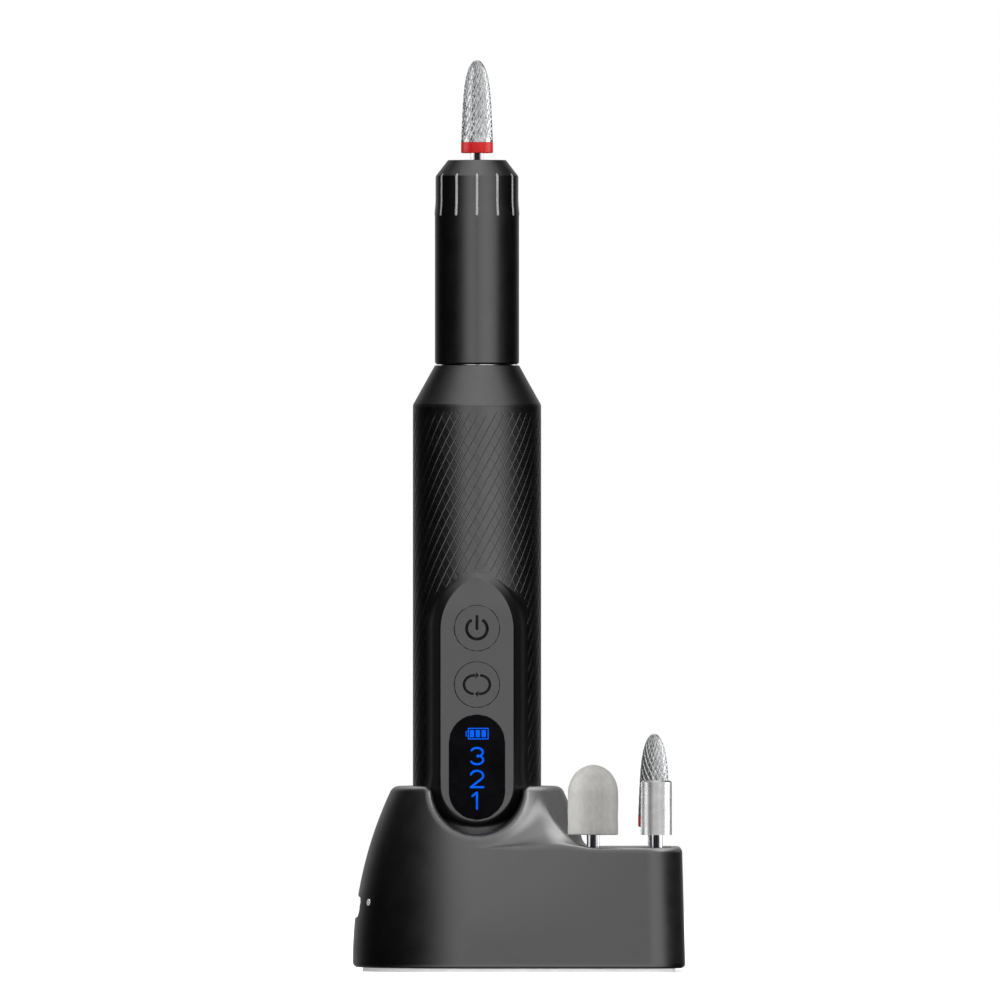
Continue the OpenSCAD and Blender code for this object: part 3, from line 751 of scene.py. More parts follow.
def outline_distance(x, z):
    """Signed distance from the panel's outline in the front view."""
    x = np.abs(x)
    foot = np.hypot(x, np.minimum(z - PANEL_LOW_Z, 0)) - PANEL_R
    low = np.where(z < PANEL_LOW_Z, foot, x - PANEL_R)
    arch = np.hypot(x + (ARCH_R - PANEL_R), np.maximum(z - ARCH_Z, 0)) - ARCH_R
    return np.where(z > ARCH_Z, arch, low)


# ---------- knurled grip ----------

KNURL_STARTS = 44
DIAMOND_H = 3.1
GROOVE_SHARE = 0.08
GROOVE_DEPTH = 0.055
CROSS_SHARE = 0.45
KNURL_TOP = GRIP_HI[2] - 0.9


def knurled_sheet():
    """The knurled cylinder, meshed along its two sets of helical grooves."""
    share = [0.0, GROOVE_SHARE, 0.5, 1.0 - GROOVE_SHARE]
    around = 4 * KNURL_STARTS
    first = math.floor(2 * GRIP_LO[2] / DIAMOND_H - 1) * 4
    last = math.ceil(2 * GRIP_HI[2] / DIAMOND_H + 1) * 4
    rows = last - first + 1
    grid = []
    for row, v in itertools.product(range(rows), range(around)):
        u = v + first + row
        fu, fv = (n // 4 + share[n % 4] for n in (u, v))
        groove = 1.0 if v % 4 == 0 else CROSS_SHARE if u % 4 == 0 else 0.0
        grid.append((math.pi * (fu + fv) / KNURL_STARTS, DIAMOND_H * (fu - fv) / 2, groove))
    angle, z, groove = np.array(grid).T
    x, y = GRIP_R * np.sin(angle), -GRIP_R * np.cos(angle)
    near = np.where(y < 0, outline_distance(x, z), 99.0)
    near_panel = smooth_step(1.1, 1.9, near - 4 * smooth_step(33, 28, z))
    radius = GRIP_R - GROOVE_DEPTH * groove * smooth_step(0.0, 0.7, KNURL_TOP - z) * near_panel
    points = np.stack([radius * np.sin(angle), -radius * np.cos(angle), z], 1)
    faces = []
    for row, v in itertools.product(range(1, rows - 1), range(around)):
        here, w = row * around, (v + 1) % around
        faces.append((here + v, here + around + v, here + w, here - around + w))
    return points, faces


def cut_sheet(points, faces, planes):
    """Cuts a sheet with planes (point, normal) in millimetres and keeps what is behind them."""
    sheet = bmesh.new()
    made = [sheet.verts.new(p) for p in points]
    for face in faces:
        sheet.faces.new([made[i] for i in face])
    for point, normal in planes:
        everything = sheet.verts[:] + sheet.edges[:] + sheet.faces[:]
        bmesh.ops.bisect_plane(
            sheet, geom=everything, dist=1e-5, plane_co=point, plane_no=normal, clear_outer=True
        )
    return sheet


def sheet_arrays(sheet):
    """Vertices and faces of a bmesh, which is then freed."""
    bmesh.ops.delete(sheet, geom=[v for v in sheet.verts if not v.link_faces], context="VERTS")
    sheet.verts.index_update()
    verts = np.array([v.co for v in sheet.verts])
    faces = [tuple(v.index for v in f.verts) for f in sheet.faces]
    sheet.free()
    return verts, faces


def grip_half(name, node, facing):
    """One half of the grip, facing -Y or +Y: knurled outside, plain inside, closed all round."""
    planes = [
        ((0, 0, 0), (0, -facing, 0)),
        ((0, 0, GRIP_LO[2] + 0.1), (0, 0, -1)),
        ((0, 0, GRIP_HI[2]), (0, 0, 1)),
    ]
    sheet = cut_sheet(*knurled_sheet(), planes)
    if facing < 0:
        hidden = []
        for face in sheet.faces:
            centre = face.calc_center_median()
            margin = 1.2 + 1.6 * smooth_step(33, 29, centre.z)
            if centre.y < 0 and outline_distance(centre.x, centre.z) < margin:
                hidden.append(face)
        bmesh.ops.delete(sheet, geom=hidden, context="FACES")
    verts, faces = sheet_arrays(sheet)
    inner = verts.copy()
    inner[:, :2] *= ((GRIP_R - GRIP_WALL) / np.hypot(verts[:, 0], verts[:, 1]))[:, None]
    piece(name, thicken(verts, faces, inner), "handpiece", "grip_plastic", node, sharp=9)


# ---------- control panel ----------

# How far out from the outline each ring of vertices of the panel's walls is.
WALL_OFFSETS = [-0.3, -0.2, -0.1, 0, 0.1, 0.2, 0.32, 0.45, 0.62, 0.8, 1.0]
WALL_OFFSETS += [1.25, 1.5, 1.8, 2.1, 2.4, 2.8, 3.3]
KEY_CLEARANCE = 0.13
LENS_CLEARANCE = 0.06
FACE_STEP = 0.9


def panel_height(x, z):
    """Y of the panel's face, its side walls and the blend into the grip."""
    s = outline_distance(x, z)
    face = FACE_Y + (-(GRIP_R + 0.02) - FACE_Y) * smooth_step(67.5, 77.0, z)
    low_end = smooth_step(38.0, 30.0, z)
    top_end = smooth_step(66, 73, z)
    roundness = 0.14 + 0.9 * low_end
    start = s + 0.1 + 0.35 * low_end
    steep = 1.95 - 0.9 * top_end
    wall = steep * (np.sqrt(np.maximum(start, 0) ** 2 + roundness**2) - roundness)
    cylinder = -np.sqrt(np.maximum(GRIP_R**2 - x**2, 0.01))
    sink = 0.4 * smooth_step(1.35 + 1.4 * low_end, 2.2 + 1.4 * low_end, s) - 0.06 * low_end
    return smooth_min(face + wall, cylinder, 0.5 + 0.5 * top_end) + sink


def panel_normals(x, z, reach=0.02):
    dx = (panel_height(x + reach, z) - panel_height(x - reach, z)) / (2 * reach)
    dz = (panel_height(x, z + reach) - panel_height(x, z - reach)) / (2 * reach)
    normals = np.stack([dx, -np.ones_like(dx), dz], 1)
    return normals / np.linalg.norm(normals, axis=1)[:, None]


def opening_distance(x, z):
    """Distance from the nearest opening's edge in the panel, negative inside an opening."""
    keys = min(math.hypot(x, z - POWER_Z), math.hypot(x, z - TURN_Z)) - KEY_R
    return min(keys, math.hypot(x, z - min(max(z, LENS_LOW_Z), LENS_TOP_Z)) - LENS_R)


def circle_points(radius, cz, count=72):
    angles = np.arange(count) * math.tau / count
    return [(radius * math.cos(a), cz + radius * math.sin(a)) for a in angles]


def arc_points(cx, cz, rx, rz, start, end, count=28):
    """Points along an ellipse, from start to end in degrees."""
    angles = np.radians(np.linspace(start, end, count))
    return [(cx + rx * math.cos(a), cz + rz * math.sin(a)) for a in angles]


def stadium_points(radius, z0, z1):
    return arc_points(0, z1, radius, radius, 0, 180, 40) + arc_points(0, z0, radius, radius, 180, 360, 40)


def control_panel():
    """The raised panel: a face with its openings, ringed by walls that run into the grip."""
    outline, outward = panel_outline()
    count = len(outline)
    rings = [outline + offset * outward for offset in WALL_OFFSETS]
    faces = ring_faces(len(rings), count, flip=True)
    loops = [
        rings[0].tolist(),
        stadium_points(LENS_R + LENS_CLEARANCE, LENS_LOW_Z, LENS_TOP_Z),
        circle_points(KEY_R + KEY_CLEARANCE, TURN_Z),
        circle_points(KEY_R + KEY_CLEARANCE, POWER_Z),
    ]
    points, edges = [], []
    for loop in loops:
        base = len(points)
        points += loop
        edges += [(base + k, base + (k + 1) % len(loop)) for k in range(len(loop))]
    across = np.arange(-5.4, 5.5, FACE_STEP)
    for z, x in itertools.product(np.arange(PANEL_LOW_Z, 75.0, FACE_STEP), across):
        if outline_distance(x, z) < WALL_OFFSETS[0] - 0.6 and opening_distance(x, z) > 0.5:
            points.append((x, z))
    meshed = delaunay_2d_cdt([Vector(p) for p in points], edges, [], 2, 1e-5)
    face_points = np.array([tuple(p) for p in meshed[0]])
    base = len(rings) * count
    for face in meshed[2]:
        corners = face_points[face]
        if opening_distance(*corners.mean(0)) < 0:
            continue
        (ax, az), (bx, bz), (cx, cz) = corners[:3]
        clockwise = (bx - ax) * (cz - az) - (bz - az) * (cx - ax) <= 0
        loop = tuple(base + i for i in face)
        faces.append(loop[::-1] if clockwise else loop)
    flat, faces = weld(np.vstack([*rings, face_points]), faces)

    x, z = flat.T
    verts = np.stack([x, panel_height(x, z), z], 1)
    normals = panel_normals(x, z)
    shape = thicken(verts, faces, verts + (0, PANEL_T, 0))
    obj = piece("control_panel_cover", shape, "handpiece", "panel_plastic", "control_panel")
    corner_normals = []
    for polygon in obj.data.polygons:
        front = all(v < len(verts) for v in polygon.vertices)
        corner_normals += [tuple(normals[v]) if front else tuple(polygon.normal) for v in polygon.vertices]
    obj.data.normals_split_custom_set(corner_normals)


# ---------- keys, display and printed marks ----------

MARK_FRONT = -0.012
MARK_BACK = 0.05


def raised_disc(radius, y0, y1, edge, segments=96):
    """A disc facing -Y from y0 (front) to y1, with a rounded front edge, centred on the origin."""
    profile = rounded_path([(0, -y1), (radius, -y1), (radius, -y0), (0, -y0)], [0, 0, edge, 0], 5)
    verts, faces = revolve(profile, segments)
    return np.stack([verts[:, 0], -verts[:, 2], verts[:, 1]], 1), faces


def prism(loop, face_y):
    """A thin mark with the outline loop of (x, z), standing just proud of a face at face_y."""
    loop = np.array(loop, float)
    area = np.sum(loop[:, 0] * np.roll(loop[:, 1], -1) - np.roll(loop[:, 0], -1) * loop[:, 1])
    if area < 0:
        loop = loop[::-1]
    count = len(loop)
    rings = [np.insert(loop, 1, face_y + depth, axis=1) for depth in (MARK_FRONT, MARK_BACK)]
    return np.vstack(rings), flipped(end_faces(2, count)) + ring_faces(2, count, flip=True)


def stroke(points, width, face_y):
    """A printed line with round ends along points (x, z)."""
    points = np.array(points, float)
    tangents = np.gradient(points, axis=0)
    tangents /= np.linalg.norm(tangents, axis=1)[:, None]
    side = np.stack([-tangents[:, 1], tangents[:, 0]], 1) * width / 2
    loop = []
    for line, across in ((points, side), (points[::-1], -side[::-1])):
        loop += list(line + across)
        start = math.atan2(across[-1][1], across[-1][0])
        for a in start - np.linspace(0.3, math.pi - 0.3, 7):
            loop.append(line[-1] + width / 2 * np.array([math.cos(a), math.sin(a)]))
    return prism(loop, face_y)


def between(start, end, shares):
    """Points some shares of the way from start to end."""
    return [(start[0] + (end[0] - start[0]) * t, start[1] + (end[1] - start[1]) * t) for t in shares]


def key_cap(name, node, body, z):
    """A round key: its cap, the flange that holds it in the panel and the stem that presses its switch."""
    stem_end = box_mm(node)[1][1]
    cap = raised_disc(KEY_R, KEY_Y, KEY_Y + 1.2, 0.12)
    flange = raised_disc(KEY_R + KEY_FLANGE, KEY_Y + 1.0, KEY_Y + 1.5, 0.08)
    stem = raised_disc(1.5, KEY_Y + 1.4, stem_end, 0.05, 32)
    verts, faces = join([cap, flange, stem])
    piece(name, (verts + (0, 0, z), faces), body, "panel_plastic", node, flat=True)


def power_mark():
    """A ring that is open at the top, with a bar in the opening."""
    bar = between((0, POWER_Z - 0.1), (0, POWER_Z + 2.25), np.linspace(0, 1, 8))
    ring = arc_points(0, POWER_Z - 0.1, 1.95, 1.95, 128, 412, 60)
    shape = join([stroke(bar, 0.55, KEY_Y), stroke(ring, 0.58, KEY_Y)])
    piece("power_mark", shape, "power_button", "panel_plastic", material=MARK)


def direction_mark():
    """Two half rings with arrow heads, which follow each other round."""
    parts = []
    for turn in (1, -1):
        half_ring = arc_points(-0.55, 0, 1.9, 1.75, 262, 90, 34)
        arrow = [(-0.17, 2.37), (0.37, 1.73), (-0.35, 1.13)]
        parts.append(stroke([(turn * x, TURN_Z + turn * z) for x, z in half_ring], 0.5, KEY_Y))
        parts.append(prism([(turn * x, TURN_Z + turn * z) for x, z in arrow], KEY_Y))
    piece("direction_mark", join(parts), "direction_button", "panel_plastic", material=MARK)


def display_window():
    """The black window, with an eased front edge."""
    edge = 0.07
    rings = []
    for a in np.linspace(0, math.pi / 2, 6):
        rings.append((edge * (1 - math.sin(a)), LENS_LO[1] + edge * (1 - math.cos(a))))
    rings.append((0, LENS_HI[1]))
    verts = []
    for inset, y in rings:
        verts += [(x, y, z) for x, z in stadium_points(LENS_R - inset, LENS_LOW_Z, LENS_TOP_Z)]
    count = len(verts) // len(rings)
    faces = ring_faces(len(rings), count, flip=True) + flipped(end_faces(len(rings), count))
    piece("display_window", (verts, faces), "handpiece", "lens_gloss", "display_lens", flat=True)


def numeral_lines():
    """Strokes of the numerals 1, 2 and 3, one unit tall and centred."""
    bend = arc_points(0, 0.2, 0.38, 0.3, 165, -32, 24)
    return {
        "1": [[(-0.28, 0.28), (-0.14, 0.39), (0.0, 0.5)], [(0, 0.5), (0, 0), (0, -0.5)]],
        "2": [
            bend + between(bend[-1], (-0.38, -0.5), (0.33, 0.66, 1)),
            [(-0.38, -0.5), (0, -0.5), (0.4, -0.5)],
        ],
        "3": [
            arc_points(0, 0.235, 0.36, 0.265, 155, -85, 24),
            arc_points(0, -0.235, 0.38, 0.265, 85, -155, 24),
        ],
    }


def display_segments():
    """The lit battery gauge, with its three bars, outline and terminal, and the speed numerals."""
    face_y = LENS_LO[1]
    gauge_z = LENS_TOP_Z + 1.7
    left, right, half_h = -1.62, 2.12, 1.0
    tip_x, tip_half = -2.05, 0.45
    parts = []
    for k in range(3):
        x = -0.95 + 1.12 * k
        corners = [(-0.4, -0.68), (0.4, -0.68), (0.4, 0.68), (-0.4, 0.68)]
        parts.append(prism([(x + a, gauge_z + b) for a, b in corners], face_y))
    top, bottom = gauge_z + half_h, gauge_z - half_h
    corners = [(right, top), (left, top), (left, bottom), (right, bottom), (right, top)]
    for start, end in zip(corners, corners[1:]):
        parts.append(stroke(between(start, end, (0, 0.5, 1)), 0.2, face_y))
    top, bottom = gauge_z + tip_half, gauge_z - tip_half
    parts.append(stroke([(left, top), (tip_x, top), (tip_x, bottom), (left, bottom)], 0.18, face_y))
    height = 3.1
    lines = numeral_lines()
    for numeral, z in (("3", 40.95), ("2", 36.6), ("1", 32.5)):
        for line in lines[numeral]:
            parts.append(stroke([(x * height, z + y * height) for x, y in line], 0.38, face_y))
    piece("display_segments", join(parts), "handpiece", "lens_gloss", material=SEGMENT)


# ---------- nose and shoulder ----------

NOSE_TAPER = 0.2
CHAMFER_H = 3.0
MOUTH_RIM_R = 5.5
MOUTH_BORE_R = 2.95
MOUTH_DEPTH = 5.6
SLEEVE_BORE_R = 7.0
RIBS = 12
RIB_W = 0.55
RIB_DEPTH = 0.35
RIB_LOW_Z = NOSE_Z - 10.6
RIB_TOP_Z = NOSE_Z - 2.57


def nose_radius(z):
    """Outer radius of the sleeve at height z."""
    taper = NECK_R - NOSE_TAPER * smooth_step(RIB_LOW_Z - 0.2, RIB_LOW_Z + 3, z)
    chamfer = MOUTH_RIM_R + (NECK_R - NOSE_TAPER - MOUTH_RIM_R) * (NOSE_Z - z) / CHAMFER_H
    return float(min(taper, chamfer))


def rib_angle(k):
    return -math.pi / 2 + k * math.tau / RIBS


def twist_sleeve():
    """The sleeve with its mouth, its chamfer and twelve slots for the strips."""
    slot_half = RIB_W / 2 / NECK_R
    slot_edge = slot_half + 0.004
    gap = math.tau / RIBS - 2 * slot_edge
    steps = [-slot_edge, -slot_half, 0, slot_half, slot_edge]
    steps += [slot_edge + gap * (j + 1) / 9 for j in range(8)]
    around = [(rib_angle(k) + step, i in (1, 2, 3)) for k in range(RIBS) for i, step in enumerate(steps)]

    chamfer_z = NOSE_Z - CHAMFER_H
    upper_r = NECK_R - NOSE_TAPER
    heights = [*np.linspace(NECK_Z + 1.5, RIB_LOW_Z - 0.3, 12), RIB_LOW_Z]
    profile = [(NECK_R - 0.35, NECK_Z), (NECK_R, NECK_Z + 0.35)]
    profile += [(nose_radius(z), z) for z in heights]
    profile += [(nose_radius(RIB_LOW_Z), RIB_LOW_Z + 0.02)]
    profile += [(nose_radius(z), z) for z in np.linspace(RIB_LOW_Z + 0.5, chamfer_z - 0.25, 12)]
    slot_end = [(nose_radius(z), z) for z in (RIB_TOP_Z, RIB_TOP_Z + 0.02)]
    rim = [(upper_r, chamfer_z - 0.3), (upper_r, chamfer_z), *slot_end]
    rim += [(MOUTH_RIM_R, NOSE_Z), (MOUTH_BORE_R, NOSE_Z)]
    profile += list(rounded_path(rim, [0, 0.25, 0, 0, 0.3, 0], 5)[1:])
    outer = len(profile)
    shelf_z = NOSE_Z - MOUTH_DEPTH
    profile += [(MOUTH_BORE_R, shelf_z), (SLEEVE_BORE_R, shelf_z), (SLEEVE_BORE_R, NECK_Z)]

    verts = []
    for i, (radius, z) in enumerate(profile):
        cut = i < outer and RIB_LOW_Z + 0.01 <= z <= RIB_TOP_Z + 0.01
        for angle, in_slot in around:
            r = min(radius, upper_r - RIB_DEPTH) if in_slot and cut else radius
            verts.append((r * math.cos(angle), r * math.sin(angle), z))
    shape = verts, ring_faces(len(profile), len(around), loop=True)
    piece("nose_sleeve", shape, "nose", "nose_plastic", "twist_sleeve", flat=True, sharp=38)


def nose_strips():
    """Twelve light strips let into the nose, slightly crowned."""
    half = RIB_W / 2 - 0.02
    section = [(-1, -0.25), (-1, -0.02), (-0.8, 0.05), (0, 0.08), (0.8, 0.05), (1, -0.02), (1, -0.25)]
    straight = np.linspace(RIB_LOW_Z + 0.25, NOSE_Z - 3.3, 10)
    heights = [RIB_LOW_Z + 0.04, *straight, NOSE_Z - 2.95, NOSE_Z - 2.6]
    last = len(heights) - 1
    parts = []
    for k in range(RIBS):
        radial = np.array([math.cos(rib_angle(k)), math.sin(rib_angle(k))])
        across = np.array([-radial[1], radial[0]])
        verts = []
        for i, z in enumerate(heights):
            on_chamfer = i >= last - 1
            base = nose_radius(z) - (0.02 if on_chamfer else 0)
            for side, height in section:
                lift = min(height, 0.02) if on_chamfer else height * 0.3 if i == 0 else height
                width = side * half * (0.55 if i == last else 1.0)
                verts.append((*(radial * (base + lift) + across * width), z))
        size = len(section)
        faces = ring_faces(len(heights), size) + end_faces(len(heights), size)
        parts.append((np.array(verts), faces))
    piece("nose_strips", join(parts), "nose", "nose_plastic", material=STRIP, sharp=50)


def shoulder():
    """The cone between the grip and the sleeve, softened where it meets the grip."""
    base, top = GRIP_HI[2], CONE_Z
    outer = GRIP_R + 0.004
    spigot = GRIP_R - GRIP_WALL - 0.1
    bore, neck_bore = 9.6, 6.85
    low, seam, step = base - 3.2, base - 0.03, base - 0.6
    outline = [(bore, low), (spigot, low), (spigot, seam), (outer, seam), (outer, base + 0.25)]
    outline += [(NECK_R, top), (neck_bore, top), (neck_bore, step), (bore, step), (bore, low)]
    shape = revolve(rounded_path(outline, [0, 0.1, 0, 0, 1.2, 0.3, 0.1, 0, 0, 0], 7), 128)
    nodes = "nose_plastic", "shoulder_cone"
    piece("shoulder_cone_ring", shape, "handpiece", *nodes, material=BLACK_GRIP, flat=True)


# ---------- bits ----------

FLUTES = 16
CROSS_FLUTES = 18
FLUTE_TURNS = 0.55


def carbide_head(name, node, body):
    """A flame-shaped carbide head, cut by left and right handed flutes."""
    low, high = box_mm(node)
    centre = (low + high) / 2
    radius, length = (high[0] - low[0]) / 2, high[2] - low[2]
    rows, around = 150, 260
    verts = []
    for row, k in itertools.product(range(rows + 1), range(around)):
        t = 1 - (1 - row / rows) ** 1.25
        envelope = radius * (1 - 0.22 * t) * math.sqrt(max(1 - t**5, 0))
        share = k / around
        first = FLUTES * (share + FLUTE_TURNS * t) % 1.0
        second = CROSS_FLUTES * (share - 0.9 * FLUTE_TURNS * t) % 1.0
        tooth = 0.30 * (1 - first) ** 1.4 if first > 0.1 else 0.30 * (first / 0.1)
        chip = 0.11 * max(0.0, 1 - abs(second - 0.5) / 0.16)
        depth = (tooth * 0.55 + chip) * min(1, envelope / (0.6 * radius)) * min(1, 12 * t + 0.15)
        r = max(envelope - depth, 0.02)
        angle = math.tau * share
        verts.append((centre[0] + r * math.cos(angle), centre[1] + r * math.sin(angle), low[2] + length * t))
    faces = ring_faces(rows + 1, around) + end_faces(rows + 1, around)
    piece(name, (verts, faces), body, "carbide", node, sharp=35)


def grade_band(name, node, body):
    low, high = box_mm(node)
    radius = (high[0] - low[0]) / 2
    outline = [(0, low[2]), (radius, low[2]), (radius, high[2]), (0, high[2])]
    shape = revolve(rounded_path(outline, [0, 0.22, 0.16, 0], 5), 72, centre_mm(node)[:2])
    piece(name, shape, body, "grade_band", node, flat=True)


def dome_head():
    """The domed ceramic head, slightly uneven from being pressed and fired."""
    low, high = box_mm("dome_bit_head")
    centre = (low + high) / 2
    radius, dome_h = (high[0] - low[0]) / 2, 5.4
    foot, shoulder_z = low[2], high[2] - dome_h
    profile = [(0, foot)]
    profile += list(rounded_path([(0, foot), (radius, foot), (radius, shoulder_z)], [0, 0.25, 0], 5)[1:-1])
    profile += [(radius, z) for z in np.linspace(foot + 1, shoulder_z, 10)]
    for a in np.linspace(0.06, math.pi / 2 - 0.05, 24):
        profile.append((radius * math.cos(a), shoulder_z + dome_h * math.sin(a)))
    profile.append((0, high[2]))
    verts, faces = revolve(profile, 96, centre[:2])
    rng = np.random.default_rng(7)
    waves = [(rng.uniform(0.4, 1.6, 3), rng.uniform(0, 6.28), rng.uniform(0.01, 0.03)) for _ in range(9)]
    offset = verts - centre
    shift = sum(size * np.sin(offset @ wave + phase) for wave, phase, size in waves)
    away = offset * (1, 1, 0.4)
    away /= np.maximum(np.linalg.norm(away, axis=1), 1e-6)[:, None]
    verts = verts + away * (shift * 0.5 - 0.03)[:, None]
    piece("dome_stone", (verts, faces), "dome_bit", "dome_ceramic", "dome_bit_head")


# ---------- springs ----------


def spring(name, node, body, wire_d, turns):
    """A coil spring with closed ends."""
    low, high = box_mm(node)
    centre = (low + high) / 2
    radius = (high[0] - low[0] - wire_d) / 2
    rise = high[2] - low[2] - wire_d
    steps, sides = 28 * turns, 10
    closed_turns, closed_rise = 0.8, wire_d * 1.02
    turn = np.linspace(0, turns, steps + 1)
    open_turns = turns - 2 * closed_turns
    middle = np.clip(turn - closed_turns, 0, open_turns)
    z = closed_rise * (turn - middle) + (rise - 2 * closed_turns * closed_rise) / open_turns * middle
    out = np.stack([np.cos(math.tau * turn), np.sin(math.tau * turn), np.zeros_like(turn)], 1)
    path = out * radius + (centre[0], centre[1], low[2] + wire_d / 2)
    path[:, 2] += z
    verts = []
    for point, away in zip(path, out):
        for a in np.arange(sides) * math.tau / sides:
            verts.append(point + wire_d / 2 * (math.cos(a) * away + math.sin(a) * np.array([0, 0, 1])))
    faces = flipped(ring_faces(steps + 1, sides) + end_faces(steps + 1, sides))
    coil = piece(name, (verts, faces), body, "spring_steel", node, sharp=50)
    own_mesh(coil)


# ---------- carried-over CAD nodes ----------


def dress_cad_nodes():
    """Gives every CAD node that still shows its slot's finish, eased edges and flat flats."""
    slot_of = {s["node"]: s["material_slot"] for s in frame["record"]["subparts"]}
    for name, obj in frame["nodes"].items():
        if obj.hide_render:
            continue
        obj.data.materials.clear()
        obj.data.materials.append(SLOT_FINISH[slot_of[name]])
        bevel = obj.modifiers.new("eased", "BEVEL")
        bevel.width = 0.06 * MM
        bevel.segments = 2
        bevel.limit_method = "ANGLE"
        bevel.angle_limit = math.radians(40)
        flat_normals(obj)


# ---------- stage ----------

VIEW_WIDTH = 190.0
VIEW_X = 4.37
VIEW_Z = 89.5
LENS_MM = 1200.0
SENSOR_MM = 36.0


def camera():
    """A long lens, level with the object's middle, almost without perspective."""
    data = bpy.data.cameras.new("camera")
    data.lens = LENS_MM
    data.sensor_width = SENSOR_MM
    data.clip_start = 0.1
    data.clip_end = 40
    cam = bpy.data.objects.new("camera", data)
    cam.location = (VIEW_X * MM, -VIEW_WIDTH * LENS_MM / SENSOR_MM * MM, VIEW_Z * MM)
    cam.rotation_euler = (math.pi / 2, 0, 0)
    bpy.context.scene.collection.objects.link(cam)
    bpy.context.scene.camera = cam


def floor():
    verts, faces = revolve([(0, 0), (500, 0), (900, 0), (900, -4), (0, -4)], 128)
    verts[:, 2] -= 0.01
    finish = mottled(
        "pale_floor", grey(0.40), grey(0.42), (0.85, 0.95), [(60, 3), (30, 3), (1.5, 3)], 0.01,
        Specular_IOR_Level=0.1, Emission_Strength=0.75, Emission_Color=(1, 1, 1, 1),
    )
    obj = mesh_object("floor", verts, flipped(faces), finish)
    obj.visible_glossy = False


def direction_to(azimuth, elevation):
    """Unit vector towards a place. Azimuth 0 is the camera's side, 90 is +X."""
    a, e = math.radians(azimuth), math.radians(elevation)
    return Vector((math.sin(a) * math.cos(e), -math.cos(a) * math.cos(e), math.sin(e)))


FRONT_RADIANCE = 3.4
ABOVE_RADIANCE = 3.8
BEHIND_RADIANCE = 0.5
BACK_RADIANCE = 0.03
AMBIENT_RADIANCE = 0.004
LIGHT_AZIMUTH = 11.0


def world():
    """White behind the object, and an arch of soft light in front of it, over it and dimly behind it."""
    bpy.context.scene.view_settings.view_transform = "Standard"
    made = bpy.data.worlds.new("studio")
    bpy.context.scene.world = made
    made.use_nodes = True
    tree = made.node_tree
    tree.nodes.clear()
    direction = add_node(tree, "TexCoord").outputs["Generated"]

    def along(azimuth, elevation):
        """How far a direction leans towards this azimuth and elevation, as a cosine."""
        node = add_node(tree, "VectorMath")
        node.operation = "DOT_PRODUCT"
        feed(tree, node.inputs, (direction, direction_to(azimuth, elevation)))
        return node.outputs["Value"]

    def ramp(value, low, high, to_low, to_high):
        return map_range(tree, value, low, high, to_low, to_high, smooth=True)

    def background(strength):
        return add_node(tree, "Background", Color=(1, 1, 1, 1), Strength=strength).outputs[0]

    sideways = math_node(tree, "ABSOLUTE", along(LIGHT_AZIMUTH + 90, 0))
    arch = ramp(sideways, 0.88, 0.46, 0, 1)
    ridge = ramp(sideways, 0.42, 0.10, 0, 1)
    gap = ramp(along(0, 0), math.cos(math.radians(9)), math.cos(math.radians(5)), 1, 0)
    front = ramp(along(0, 5), -0.35, 0.55, BACK_RADIANCE, FRONT_RADIANCE)
    above = ramp(along(0, 90), 0.35, 0.75, 0, ABOVE_RADIANCE)
    behind = ramp(along(180, 12), 0.66, 0.93, 0, BEHIND_RADIANCE)
    front = math_node(tree, "MULTIPLY", front, gap)
    above = math_node(tree, "MULTIPLY", above, ridge)
    light = math_node(tree, "MULTIPLY", math_node(tree, "MAXIMUM", front, above), arch)
    light = math_node(tree, "ADD", math_node(tree, "ADD", light, behind), AMBIENT_RADIANCE)
    seen = add_node(tree, "LightPath").outputs["Is Camera Ray"]
    choose = add_node(tree, "MixShader")
    feed(tree, choose.inputs, (seen, background(light), background(1.0)))
    add_node(tree, "OutputWorld", Surface=choose.outputs[0])


def softbox(name, azimuth, elevation, distance, width, height, radiance, only):
    """An area light aimed at the object's middle.
    Where only names pieces, it lights nothing else and nothing else shades them."""
    data = bpy.data.lights.new(name, "AREA")
    data.shape = "RECTANGLE"
    data.size = width
    data.size_y = height
    data.energy = radiance * math.pi * width * height
    lamp = bpy.data.objects.new(name, data)
    away = direction_to(azimuth, elevation)
    lamp.location = Vector((0, 0, 0.08)) + away * distance
    lamp.rotation_mode = "QUATERNION"
    lamp.rotation_quaternion = away.to_track_quat("Z", "Y")
    lamp.visible_camera = False
    bpy.context.scene.collection.objects.link(lamp)
    if only:
        lit = bpy.data.collections.new(name + "_lit")
        for piece in only:
            lit.objects.link(bpy.data.objects[piece])
        lamp.light_linking.receiver_collection = lit
        lamp.light_linking.blocker_collection = lit


DOCK = ["dock_shell_moulding"]
BURRS = ["fitted_burr", "spare_burr", "fitted_band", "spare_band"]
BARREL = ["mandrel_bit_barrel"]
SHANKS = ["dome_bit_shank", "mandrel_bit_shank", "carbide_bit_shank", "fitted_bit_shank"]
DOME = ["dome_stone"]

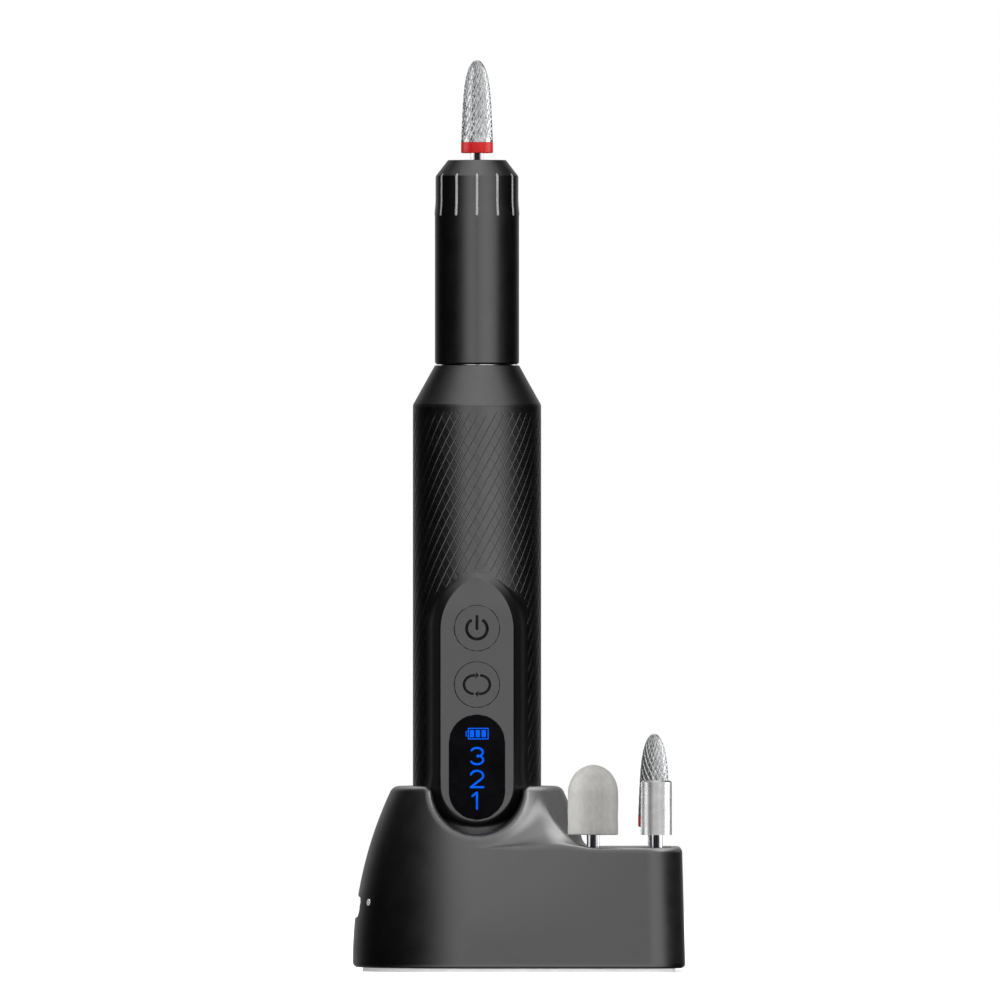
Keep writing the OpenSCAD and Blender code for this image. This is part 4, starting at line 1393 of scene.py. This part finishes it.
# Name, azimuth and elevation in degrees, distance, width and height in metres, radiance, pieces lit.
SOFTBOXES = (
    ("top_box", 180, 75, 1.1, 1.0, 0.4, 1.5, None),
    ("shoulder_box", 66, 42, 0.8, 0.5, 0.5, 11.0, DOCK),
    ("ramp_box", 135, 58, 0.8, 0.6, 0.6, 6.3, DOCK),
    ("flank_box", 120, 20, 0.8, 0.5, 0.4, 1.1, DOCK),
    ("burr_right_box", 88, 12, 0.7, 0.55, 0.6, 8.0, BURRS),
    ("burr_left_box", -88, 12, 0.7, 0.55, 0.6, 6.0, BURRS),
    ("mandrel_right_box", 90, 12, 0.7, 0.55, 0.6, 13.0, BARREL),
    ("mandrel_left_box", -105, 12, 0.7, 1.2, 0.6, 8.0, BARREL),
    ("shank_right_box", 88, 12, 0.6, 0.8, 0.6, 80.0, SHANKS),
    ("shank_left_box", -88, 12, 0.6, 0.8, 0.6, 80.0, SHANKS),
    ("stone_left_box", -80, 12, 0.7, 0.5, 0.6, 21.0, DOME),
    ("stone_right_box", 80, 12, 0.7, 0.5, 0.6, 9.0, DOME),
)


# ---------- build ----------

camera()
floor()
world()

dock_shell()
charge_light()
grip_half("front_grip_shell", "front_housing", -1)
grip_half("rear_grip_shell", "rear_housing", 1)
control_panel()
key_cap("power_key_cap", "power_key", "power_button", POWER_Z)
key_cap("direction_key_cap", "direction_key", "direction_button", TURN_Z)
power_mark()
direction_mark()
display_window()
display_segments()
twist_sleeve()
nose_strips()
shoulder()
carbide_head("fitted_burr", "fitted_bit_head", "fitted_bit")
carbide_head("spare_burr", "carbide_bit_head", "carbide_bit")
grade_band("fitted_band", "fitted_bit_band", "fitted_bit")
grade_band("spare_band", "carbide_bit_band", "carbide_bit")
dome_head()
spring("collet_spring_coil", "collet_spring", "handpiece", 0.6, 5)
spring("plus_pogo_coil", "plus_pogo_spring", "dock", 0.24, 6)
spring("minus_pogo_coil", "minus_pogo_spring", "dock", 0.24, 6)
dress_cad_nodes()
for lamp in SOFTBOXES:
    softbox(*lamp)
